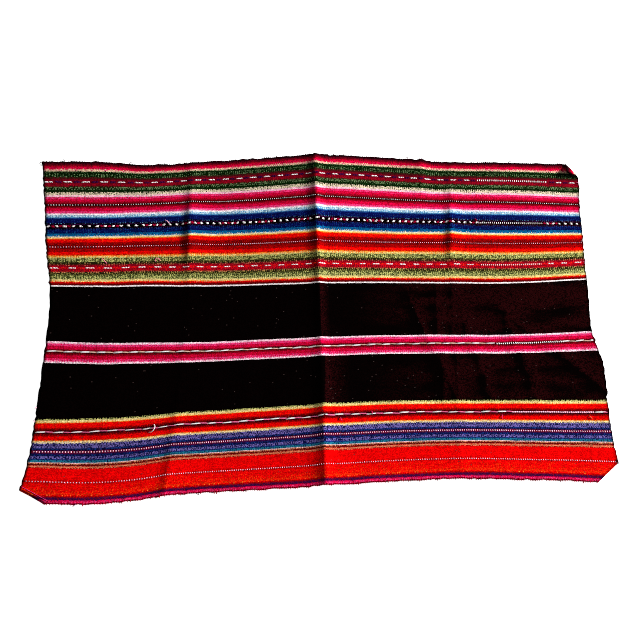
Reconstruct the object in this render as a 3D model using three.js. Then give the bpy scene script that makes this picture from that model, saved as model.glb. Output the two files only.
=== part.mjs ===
// Aguayo carrying cloth, laid out: one warp-striped woven panel with four finished edges.
// Old fold lines still stand up as creases. One corner is turned over the cloth and two beneath it.
// Units are millimetres. The cloth lies on z = 0 with its stripes along X and its far edge towards +Y.
import * as THREE from "three";

const { clamp, degToRad, lerp, smoothstep } = THREE.MathUtils;

// Driving dimensions of the woven panel.
const LENGTH = 1100;
const WIDTH = 700;
const THICKNESS = 2;

const HALF_LENGTH = LENGTH / 2;
const HALF_WIDTH = WIDTH / 2;

// Stripes that the shape is given on, as distances across the cloth from its far edge.
const STRIPES = { far: 0, rose: 72, gold: 168, white: 282, magenta: 400, lime: 540, near: WIDTH };

// How far each stripe bows towards the far side, at places along the cloth from its middle.
const BOWS = [
  { along: -550, far: 4, rose: -3, gold: -1, white: 7, magenta: 4, lime: -17, near: -15 },
  { along: -430, far: 3, rose: -3, gold: 0, white: 6, magenta: 0, lime: -15, near: -20 },
  { along: -350, far: -4, rose: -2, gold: 2, white: 8, magenta: 1, lime: -11, near: -14 },
  { along: -265, far: 0, rose: 2, gold: 4, white: 7, magenta: 1, lime: -3, near: -1 },
  { along: -130, far: 9, rose: 7, gold: 7, white: 9, magenta: 6, lime: 5, near: 8 },
  { along: 0, far: 13, rose: 12, gold: 10, white: 11, magenta: 10, lime: 12, near: 15 },
  { along: 130, far: 12, rose: 10, gold: 10, white: 14, magenta: 16, lime: 20, near: 25 },
  { along: 265, far: 3, rose: 4, gold: 9, white: 14, magenta: 17, lime: 22, near: 31 },
  { along: 400, far: 1, rose: 2, gold: 7, white: 14, magenta: 18, lime: 22, near: 28 },
  { along: 550, far: -3, rose: -4, gold: 7, white: 22, magenta: 25, lime: 22, near: 21 },
];

// How far the two ends swing out past straight ones, at places across the cloth.
const END_SWINGS = [
  { fromFar: 0, left: 18, right: -11 },
  { fromFar: 75, left: 8, right: -16 },
  { fromFar: 200, left: -6, right: -16 },
  { fromFar: 310, left: -21, right: -14 },
  { fromFar: 400, left: -20, right: -12 },
  { fromFar: 465, left: -16, right: 4 },
  { fromFar: 585, left: -8, right: 7 },
  { fromFar: 640, left: -2, right: 13 },
  { fromFar: 700, left: 12, right: 19 },
];

// Folds: where the crest meets the far and near edges, how far its left and right flanks reach,
// how peaked it is, and its height on each stripe.
const FOLDS = [
  {
    name: "middle swell", farAt: -5, nearAt: 16, leftReach: 190, rightReach: 200, peak: 1.5,
    far: 15, rose: 13, gold: 11, white: 8, magenta: 6, lime: 6, near: 5,
  },
  {
    name: "middle crease", farAt: -5, nearAt: 16, leftReach: 26, rightReach: 20, peak: 2,
    far: 5, rose: 6, gold: 6, white: 4.5, magenta: 3.5, lime: 2.5, near: 3,
  },
  {
    name: "near part of the middle crease", farAt: 15, nearAt: 15, leftReach: 40, rightReach: 50, peak: 1.4,
    far: 0, rose: 0, gold: 0, white: 0, magenta: 0.5, lime: 5.5, near: 5,
  },
  {
    name: "left crease", farAt: -251, nearAt: -282, leftReach: 22, rightReach: 66, peak: 2,
    far: 2, rose: 4, gold: 7, white: 2, magenta: 1.5, lime: 2.5, near: 4,
  },
  {
    name: "far edge ripple", farAt: 217, nearAt: 217, leftReach: 80, rightReach: 24, peak: 1.6,
    far: 7, rose: 2, gold: 0, white: 0, magenta: 0, lime: 0, near: 0,
  },
  {
    name: "right crease", farAt: 282, nearAt: 262, leftReach: 22, rightReach: 42, peak: 2,
    far: 1.5, rose: 2.5, gold: 6, white: 1.5, magenta: 0.5, lime: 1, near: 1.5,
  },
];

// Turned corners: which end and long edge they are on, how far along each the fold line starts,
// the gap left between the layers, and how far round the corner is turned.
const CORNERS = [
  { end: 1, edge: "far", legAlong: 33, legAcross: 38, over: true, gap: 3, turn: 150 },
  { end: -1, edge: "near", legAlong: 58, legAcross: 26, over: false, gap: 1.6, turn: 180 },
  { end: 1, edge: "near", legAlong: 46, legAcross: 42, over: false, gap: 1.6, turn: 180 },
];
// Length over which the cloth comes down to the surface beside a corner turned beneath it.
const CORNER_SLOPE = 80;

// Spacing of the points that carry the shape, and the steps around a turned corner's bend.
const COLUMN_STEP = 34;
const ROW_STEP = 34;
const CLOSEST_LINES = 3;
const FLANK_SHARES = [1, 0.6, 0.25];
const BEND_STEPS = 6;
const NORMAL_STEP = 0.05;

// Smooth curve through values at rising places, held level past the first and last.
function smoothThrough(places, values, at) {
  const last = places.length - 1;
  const place = clamp(at, places[0], places[last]);
  const slope = (k) => {
    const before = Math.max(k - 1, 0);
    const after = Math.min(k + 1, last);
    return (values[after] - values[before]) / (places[after] - places[before]);
  };
  let k = 0;
  while (k < last - 1 && place > places[k + 1]) k += 1;
  const run = places[k + 1] - places[k];
  const t = (place - places[k]) / run;
  const bend = slope(k) * run * t * (1 - t) ** 2 - slope(k + 1) * run * t ** 2 * (1 - t);
  return lerp(values[k], values[k + 1], t * t * (3 - 2 * t)) + bend;
}

// Value of a table row at a place across the cloth, from its columns named after the stripes.
function betweenStripes(row, fromFar) {
  return smoothThrough(Object.values(STRIPES), Object.keys(STRIPES).map((name) => row[name]), fromFar);
}

// Where a place on the cloth lies in plan, after the bow of its stripes and the swing of its ends,
// which dies out towards the middle.
function planOf(along, fromFar) {
  const across = END_SWINGS.map((row) => row.fromFar);
  const left = smoothThrough(across, END_SWINGS.map((row) => row.left), fromFar);
  const right = smoothThrough(across, END_SWINGS.map((row) => row.right), fromFar);
  const bows = BOWS.map((row) => betweenStripes(row, fromFar));
  const bow = smoothThrough(BOWS.map((row) => row.along), bows, along);
  const swing = along < 0 ? left : right;
  return { x: along * (1 + swing / HALF_LENGTH), y: HALF_WIDTH - fromFar + bow };
}

// Height of one fold above the surface.
function foldHeight(fold, along, fromFar) {
  const crest = lerp(fold.farAt, fold.nearAt, fromFar / WIDTH);
  const reach = along < crest ? fold.leftReach : fold.rightReach;
  const share = Math.max(1 - Math.abs(along - crest) / reach, 0);
  return Math.max(betweenStripes(fold, fromFar), 0) * share ** fold.peak;
}

// Measures of a turned corner: its height from fold line to tip, bend radius and length of bend
// at the cloth's underside.
function flapOf(corner) {
  const height = 1 / Math.hypot(1 / corner.legAlong, 1 / corner.legAcross);
  const radius = corner.gap / 2 + (corner.over ? THICKNESS : 0);
  return { height, radius, bendLength: radius * degToRad(corner.turn) };
}

// How far a place lies past a corner's fold line, towards the tip.
function pastFoldLine(corner, along, fromFar) {
  const fromEnd = HALF_LENGTH - corner.end * along;
  const fromEdge = corner.edge === "far" ? fromFar : WIDTH - fromFar;
  return (1 - fromEnd / corner.legAlong - fromEdge / corner.legAcross) * flapOf(corner).height;
}

// Height that the cloth is lifted by the corners lying beneath it.
function cornerLift(along, fromFar) {
  let lift = 0;
  for (const corner of CORNERS.filter((c) => !c.over)) {
    const flap = flapOf(corner);
    const inner = flap.bendLength - flap.height;
    const share = smoothstep(pastFoldLine(corner, along, fromFar), inner - CORNER_SLOPE, inner);
    lift += (corner.gap + THICKNESS) * share;
  }
  return lift;
}

// Where a place goes when its corner is turned, and its height above or below the cloth there.
function turnCorner(corner, along, fromFar) {
  const past = pastFoldLine(corner, along, fromFar);
  if (past <= 0) return { along, fromFar, rise: 0 };
  const flap = flapOf(corner);
  const angle = Math.min(past, flap.bendLength) / flap.radius;
  const straight = Math.max(past - flap.bendLength, 0);
  const out = flap.radius * Math.sin(angle) + straight * Math.cos(angle);
  const up = flap.radius * (1 - Math.cos(angle)) + straight * Math.sin(angle);
  const step = (out - past) * flap.height;
  const towardsEdge = corner.edge === "far" ? -1 : 1;
  return {
    along: along + (corner.end * step) / corner.legAlong,
    fromFar: fromFar + (towardsEdge * step) / corner.legAcross,
    rise: corner.over ? up : -up,
  };
}

// Point on the underside of the laid cloth.
function layUnder(along, fromFar) {
  let place = { along, fromFar, rise: 0 };
  for (const corner of CORNERS) {
    if (place.rise === 0) place = turnCorner(corner, place.along, place.fromFar);
  }
  const folds = FOLDS.reduce((sum, fold) => sum + foldHeight(fold, place.along, place.fromFar), 0);
  const { x, y } = planOf(place.along, place.fromFar);
  return new THREE.Vector3(x, y, folds + cornerLift(place.along, place.fromFar) + place.rise);
}

// Point on the cloth's upper side, one thickness off the underside.
function layOver(along, fromFar) {
  const alongward = layUnder(along + NORMAL_STEP, fromFar).sub(layUnder(along - NORMAL_STEP, fromFar));
  const farward = layUnder(along, fromFar - NORMAL_STEP).sub(layUnder(along, fromFar + NORMAL_STEP));
  const normal = alongward.cross(farward).normalize();
  return layUnder(along, fromFar).addScaledVector(normal, THICKNESS);
}

// Lines from one edge to the opposite one, sorted, with closer ones dropped and wide gaps filled.
function spreadLines(marks, widest) {
  const sorted = [...marks].sort((a, b) => a[0] + a[1] - b[0] - b[1]);
  const lines = [sorted[0]];
  for (const mark of sorted.slice(1)) {
    const before = lines.at(-1);
    const gap = Math.min(mark[0] - before[0], mark[1] - before[1]);
    if (gap < CLOSEST_LINES) continue;
    const parts = Math.ceil(gap / widest);
    for (let k = 1; k <= parts; k += 1) {
      lines.push([lerp(before[0], mark[0], k / parts), lerp(before[1], mark[1], k / parts)]);
    }
  }
  return lines;
}

// Distance of a turned corner's fold line from its end or its long edge, or a usual step.
function legOf(end, edge, name, usual) {
  const corner = CORNERS.find((c) => c.end === end && c.edge === edge);
  return corner ? corner[name] : usual;
}

// Lines of points across the cloth, each by its places on the far and near edges.
function columnLines() {
  const marks = [];
  for (const end of [-1, 1]) {
    const legs = ["far", "near"].map((edge) => legOf(end, edge, "legAlong", COLUMN_STEP));
    marks.push([end * HALF_LENGTH, end * HALF_LENGTH], legs.map((leg) => end * (HALF_LENGTH - leg)));
  }
  for (const fold of FOLDS) {
    marks.push([fold.farAt, fold.nearAt]);
    for (const share of FLANK_SHARES) {
      const left = share * fold.leftReach;
      const right = share * fold.rightReach;
      marks.push([fold.farAt - left, fold.nearAt - left], [fold.farAt + right, fold.nearAt + right]);
    }
  }
  return spreadLines(marks, COLUMN_STEP);
}

// Lines of points along the cloth, each by its places on the left and right ends.
function rowLines() {
  const farLegs = [-1, 1].map((end) => legOf(end, "far", "legAcross", ROW_STEP));
  const nearLegs = [-1, 1].map((end) => WIDTH - legOf(end, "near", "legAcross", ROW_STEP));
  return spreadLines([[0, 0], farLegs, nearLegs, [WIDTH, WIDTH]], ROW_STEP);
}

// Place where a line across the cloth meets a line along it.
function crossing(column, row) {
  const across = (row[1] - row[0]) / LENGTH;
  const along = (column[1] - column[0]) / WIDTH;
  const middle = (row[0] + row[1]) / 2;
  const fromFar = (middle + across * column[0]) / (1 - across * along);
  return { along: column[0] + along * fromFar, fromFar };
}

// Points, faces and edge of the flat cloth. Faces and edge run counter-clockwise seen from above.
function flatCloth() {
  const columns = columnLines();
  const rows = rowLines();
  const lastColumn = columns.length - 1;
  const lastRow = rows.length - 1;
  const places = columns.flatMap((column) => rows.map((row) => crossing(column, row)));
  const at = (i, j) => i * rows.length + j;
  const faces = [];
  const turnedEdges = new Map();

  const addFlap = (corner, before, tip, after) => {
    const flap = flapOf(corner);
    const between = (a, share) => ({
      along: lerp(places[a].along, places[tip].along, share),
      fromFar: lerp(places[a].fromFar, places[tip].fromFar, share),
    });
    const leading = [before];
    const trailing = [after];
    for (let k = 1; k <= BEND_STEPS; k += 1) {
      const share = (flap.bendLength * k) / BEND_STEPS / flap.height;
      leading.push(places.push(between(before, share)) - 1);
      trailing.push(places.push(between(after, share)) - 1);
      faces.push([leading[k - 1], leading[k], trailing[k]], [leading[k - 1], trailing[k], trailing[k - 1]]);
    }
    faces.push([leading[BEND_STEPS], tip, trailing[BEND_STEPS]]);
    turnedEdges.set(tip, [...leading.slice(1), tip, ...trailing.slice(1).reverse()]);
  };

  for (let i = 0; i < lastColumn; i += 1) {
    for (let j = 0; j < lastRow; j += 1) {
      const loop = [at(i, j), at(i, j + 1), at(i + 1, j + 1), at(i + 1, j)];
      const corner = CORNERS.find(
        (c) => i === (c.end > 0 ? lastColumn - 1 : 0) && j === (c.edge === "near" ? lastRow - 1 : 0),
      );
      if (!corner) {
        faces.push([loop[0], loop[1], loop[2]], [loop[0], loop[2], loop[3]]);
        continue;
      }
      const tip = loop.indexOf(at(corner.end > 0 ? lastColumn : 0, corner.edge === "near" ? lastRow : 0));
      const [after, inner, before] = [1, 2, 3].map((turn) => loop[(tip + turn) % loop.length]);
      faces.push([after, inner, before]);
      addFlap(corner, before, loop[tip], after);
    }
  }

  const edge = [];
  for (let j = 0; j < lastRow; j += 1) edge.push(at(0, j));
  for (let i = 0; i < lastColumn; i += 1) edge.push(at(i, lastRow));
  for (let j = lastRow; j > 0; j -= 1) edge.push(at(lastColumn, j));
  for (let i = lastColumn; i > 0; i -= 1) edge.push(at(i, 0));
  return { places, faces, edge: edge.flatMap((point) => turnedEdges.get(point) ?? [point]) };
}

// Closed sheet: the underside, the upper side and the wall that joins them along the edge.
function sheetGeometry() {
  const { places, faces, edge } = flatCloth();
  const under = places.map((place) => layUnder(place.along, place.fromFar));
  const over = places.map((place) => layOver(place.along, place.fromFar));
  const lift = places.length;
  const triangles = faces.flatMap(([a, b, c]) => [a, c, b, a + lift, b + lift, c + lift]);
  edge.forEach((a, k) => {
    const b = edge[(k + 1) % edge.length];
    triangles.push(a, b, b + lift, a, b + lift, a + lift);
  });
  const geometry = new THREE.BufferGeometry().setFromPoints([...under, ...over]);
  geometry.setIndex(triangles);
  geometry.computeVertexNormals();
  return geometry;
}

const handspunWool = new THREE.MeshStandardMaterial({ color: 0x8c1220, roughness: 0.92, metalness: 0 });

const clothPanel = new THREE.Mesh(sheetGeometry(), handspunWool);
clothPanel.name = "cloth_panel";

const aguayo = new THREE.Group();
aguayo.add(clothPanel);

export default aguayo;
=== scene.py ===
"""Aguayo carrying cloth laid out in a plain studio.

The woven sheet lies on the folds of its solid. Figure rows are raised warp floats, the long edges have
their weft turns, and a few loose yarn ends lie on the cloth. Sizes are millimetres until a mesh is made.
"""

import logging
import math
from dataclasses import dataclass, field
from enum import Enum
from typing import NamedTuple, Sequence

import bpy
import numpy as np
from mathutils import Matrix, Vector


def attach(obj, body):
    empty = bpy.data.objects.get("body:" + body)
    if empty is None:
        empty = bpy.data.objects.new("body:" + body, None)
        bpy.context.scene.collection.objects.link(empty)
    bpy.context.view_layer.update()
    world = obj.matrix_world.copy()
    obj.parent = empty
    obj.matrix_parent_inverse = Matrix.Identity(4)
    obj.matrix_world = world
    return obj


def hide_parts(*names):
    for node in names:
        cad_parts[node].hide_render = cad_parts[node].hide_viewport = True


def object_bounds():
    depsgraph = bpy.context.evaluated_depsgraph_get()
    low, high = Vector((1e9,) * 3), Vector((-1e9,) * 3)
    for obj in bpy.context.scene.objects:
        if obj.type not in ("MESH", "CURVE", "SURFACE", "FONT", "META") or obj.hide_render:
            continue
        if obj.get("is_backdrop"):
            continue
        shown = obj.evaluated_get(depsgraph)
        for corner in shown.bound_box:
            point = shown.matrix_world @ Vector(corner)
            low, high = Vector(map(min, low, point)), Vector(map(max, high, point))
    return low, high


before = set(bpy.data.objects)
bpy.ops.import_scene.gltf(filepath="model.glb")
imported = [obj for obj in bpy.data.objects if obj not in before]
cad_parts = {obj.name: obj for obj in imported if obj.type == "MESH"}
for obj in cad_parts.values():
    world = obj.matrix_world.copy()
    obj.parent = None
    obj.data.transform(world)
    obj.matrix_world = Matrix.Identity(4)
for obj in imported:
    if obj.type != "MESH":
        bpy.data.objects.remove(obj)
CAD_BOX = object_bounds()

LOG = logging.getLogger("aguayo")
BODY = "root"
NODE = "cloth_panel"
MM = 0.001
FLANK_LIGHT = "flank_light"
TURNED = "from_turn"
Socket = bpy.types.NodeSocket


class Edge(Enum):
    """Long edge of the cloth, with the way in which it faces across the cloth."""

    FAR = -1
    NEAR = 1


class Turn(Enum):
    """Side of the cloth that a corner is turned to."""

    OVER = 1
    UNDER = -1


class Bow(NamedTuple):
    """How far each guide stripe bows towards the far side, at one place along the cloth."""

    along: float
    far: float
    rose: float
    gold: float
    white: float
    magenta: float
    lime: float
    near: float


class EndSwing(NamedTuple):
    """How far the two ends swing out past straight ones, at one place across the cloth."""

    from_far: float
    left: float
    right: float


class Fold(NamedTuple):
    """One fold: its crest on both long edges, its flanks, its peakedness, and its height on each stripe."""

    name: str
    far_at: float
    near_at: float
    left_reach: float
    right_reach: float
    peak: float
    far: float = 0.0
    rose: float = 0.0
    gold: float = 0.0
    white: float = 0.0
    magenta: float = 0.0
    lime: float = 0.0
    near: float = 0.0


class Corner(NamedTuple):
    """One turned corner: where it is, where its fold line starts on both edges, and how it is turned."""

    end: int
    edge: Edge
    leg_along: float
    leg_across: float
    turn: Turn
    gap: float
    degrees: float


GUIDES = {
    "far": 0.0,
    "rose": 72.0,
    "gold": 168.0,
    "white": 282.0,
    "magenta": 400.0,
    "lime": 540.0,
    "near": 700.0,
}

BOWS = (
    Bow(-550, far=4, rose=-3, gold=-1, white=7, magenta=4, lime=-17, near=-15),
    Bow(-430, far=3, rose=-3, gold=0, white=6, magenta=0, lime=-15, near=-20),
    Bow(-350, far=-4, rose=-2, gold=2, white=8, magenta=1, lime=-11, near=-14),
    Bow(-265, far=0, rose=2, gold=4, white=7, magenta=1, lime=-3, near=-1),
    Bow(-130, far=9, rose=7, gold=7, white=9, magenta=6, lime=5, near=8),
    Bow(0, far=13, rose=12, gold=10, white=11, magenta=10, lime=12, near=15),
    Bow(130, far=12, rose=10, gold=10, white=14, magenta=16, lime=20, near=25),
    Bow(265, far=3, rose=4, gold=9, white=14, magenta=17, lime=22, near=31),
    Bow(400, far=1, rose=2, gold=7, white=14, magenta=18, lime=22, near=28),
    Bow(550, far=-3, rose=-4, gold=7, white=22, magenta=25, lime=22, near=21),
)

END_SWINGS = (
    EndSwing(0, left=18, right=-11),
    EndSwing(75, left=8, right=-16),
    EndSwing(200, left=-6, right=-16),
    EndSwing(310, left=-21, right=-14),
    EndSwing(400, left=-20, right=-12),
    EndSwing(465, left=-16, right=4),
    EndSwing(585, left=-8, right=7),
    EndSwing(640, left=-2, right=13),
    EndSwing(700, left=12, right=19),
)

FOLDS = (
    Fold(
        "middle swell", -5, 16, left_reach=190, right_reach=200, peak=1.5,
        far=15, rose=13, gold=11, white=8, magenta=6, lime=6, near=5,
    ),
    Fold(
        "middle crease", -5, 16, left_reach=26, right_reach=20, peak=2,
        far=5, rose=6, gold=6, white=4.5, magenta=3.5, lime=2.5, near=3,
    ),
    Fold(
        "near part of the middle crease", 15, 15, left_reach=40, right_reach=50, peak=1.4,
        magenta=0.5, lime=5.5, near=5,
    ),
    Fold(
        "left crease", -251, -282, left_reach=22, right_reach=66, peak=2,
        far=2, rose=4, gold=7, white=2, magenta=1.5, lime=2.5, near=4,
    ),
    Fold("far edge ripple", 217, 217, left_reach=80, right_reach=24, peak=1.6, far=7, rose=2),
    Fold(
        "right crease", 282, 262, left_reach=22, right_reach=42, peak=2,
        far=1.5, rose=2.5, gold=6, white=1.5, magenta=0.5, lime=1, near=1.5,
    ),
)

WRINKLES = (
    Fold("slanting wrinkle", 76, 322, left_reach=30, right_reach=34, peak=1.7, magenta=1.7, lime=0.7),
    Fold(
        "rise before the right crease", 243, 239, left_reach=40, right_reach=36, peak=1.7,
        white=0.5, magenta=1.3, lime=1,
    ),
    Fold("second wrinkle", 226, 359, left_reach=22, right_reach=26, peak=1.7, magenta=1.4, lime=1),
    Fold("third wrinkle", 314, 444, left_reach=28, right_reach=40, peak=1.7, magenta=1.6, lime=1),
    Fold("end wrinkle", 30, 728, left_reach=40, right_reach=60, peak=1.7, magenta=1.3, lime=0.8),
    Fold("left wrinkle", -150, -138, left_reach=34, right_reach=40, peak=1.7, magenta=0.7, lime=0.9),
    Fold("left end wrinkle", -420, -404, left_reach=40, right_reach=36, peak=1.7, lime=0.7, near=0.8),
)

CORNERS = (
    Corner(1, Edge.FAR, leg_along=33, leg_across=38, turn=Turn.OVER, gap=3, degrees=150),
    Corner(-1, Edge.NEAR, leg_along=58, leg_across=26, turn=Turn.UNDER, gap=1.6, degrees=180),
    Corner(1, Edge.NEAR, leg_along=46, leg_across=42, turn=Turn.UNDER, gap=1.6, degrees=180),
)


class Dye(Enum):
    """Yarn colours, as display red, green and blue."""

    SOOT = (3, 1, 1)
    RIM = (34, 3, 9)
    MAROON = (86, 4, 22)
    WINE = (128, 5, 24)
    BERRY = (158, 10, 48)
    CRIMSON = (192, 4, 38)
    CERISE = (222, 5, 66)
    HOT_PINK = (240, 60, 126)
    BLUSH = (255, 190, 212)
    WHITE = (255, 244, 244)
    CREAM = (232, 196, 160)
    BOTTLE = (6, 28, 4)
    MOSS = (28, 58, 20)
    SAGE = (110, 138, 92)
    STONE = (226, 208, 176)
    SKY = (196, 222, 232)
    AZURE = (84, 146, 188)
    DENIM = (20, 52, 120)
    NAVY = (6, 12, 74)
    INK = (3, 3, 14)
    LAGOON = (10, 94, 146)
    STRAW = (250, 218, 146)
    AMBER = (246, 152, 50)
    FLAME = (244, 52, 10)
    SCARLET = (241, 3, 4)
    BRICK = (168, 3, 4)
    GARNET = (100, 3, 6)
    RUBY = (214, 8, 24)
    OLIVE = (150, 140, 66)
    BARK = (36, 30, 12)
    LODEN = (60, 66, 30)
    LIME = (190, 190, 110)
    VIOLET = (114, 100, 172)
    INDIGO = (12, 13, 62)
    TEAL = (30, 112, 138)
    TAN = (210, 128, 88)
    ROSE = (240, 112, 158)
    PLUM = (58, 10, 62)
    ASH = (216, 182, 164)
    LINT = (64, 50, 48)

    def linear(self) -> tuple[float, float, float, float]:
        """Colour for a shader, with full opacity."""
        shares = [channel / 255.0 for channel in self.value]
        return (*[s / 12.92 if s <= 0.04045 else ((s + 0.055) / 1.055) ** 2.4 for s in shares], 1.0)


class Row(Enum):
    """Patterned rows, from the far edge to the near one."""

    FAR_DASHES = "far_dash_row"
    PINK_DOTS = "pink_dot_row"
    CHECKS = "check_row"
    RED_DOTS = "red_dot_row"
    RUBY_DASHES = "ruby_dash_row"
    PINK_CORD = "pink_cord_row"
    RED_CORD = "red_cord_row"
    VIOLET_DOTS = "violet_dot_row"
    SCARLET_DOTS = "scarlet_dot_row"


class Stripe(NamedTuple):
    """One warp stripe: its warp ends, its dye, a second dye with the share that shows, and its row."""

    ends: int
    dye: Dye
    cross: Dye | None = None
    share: float = 0.0
    row: Row | None = None


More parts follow.
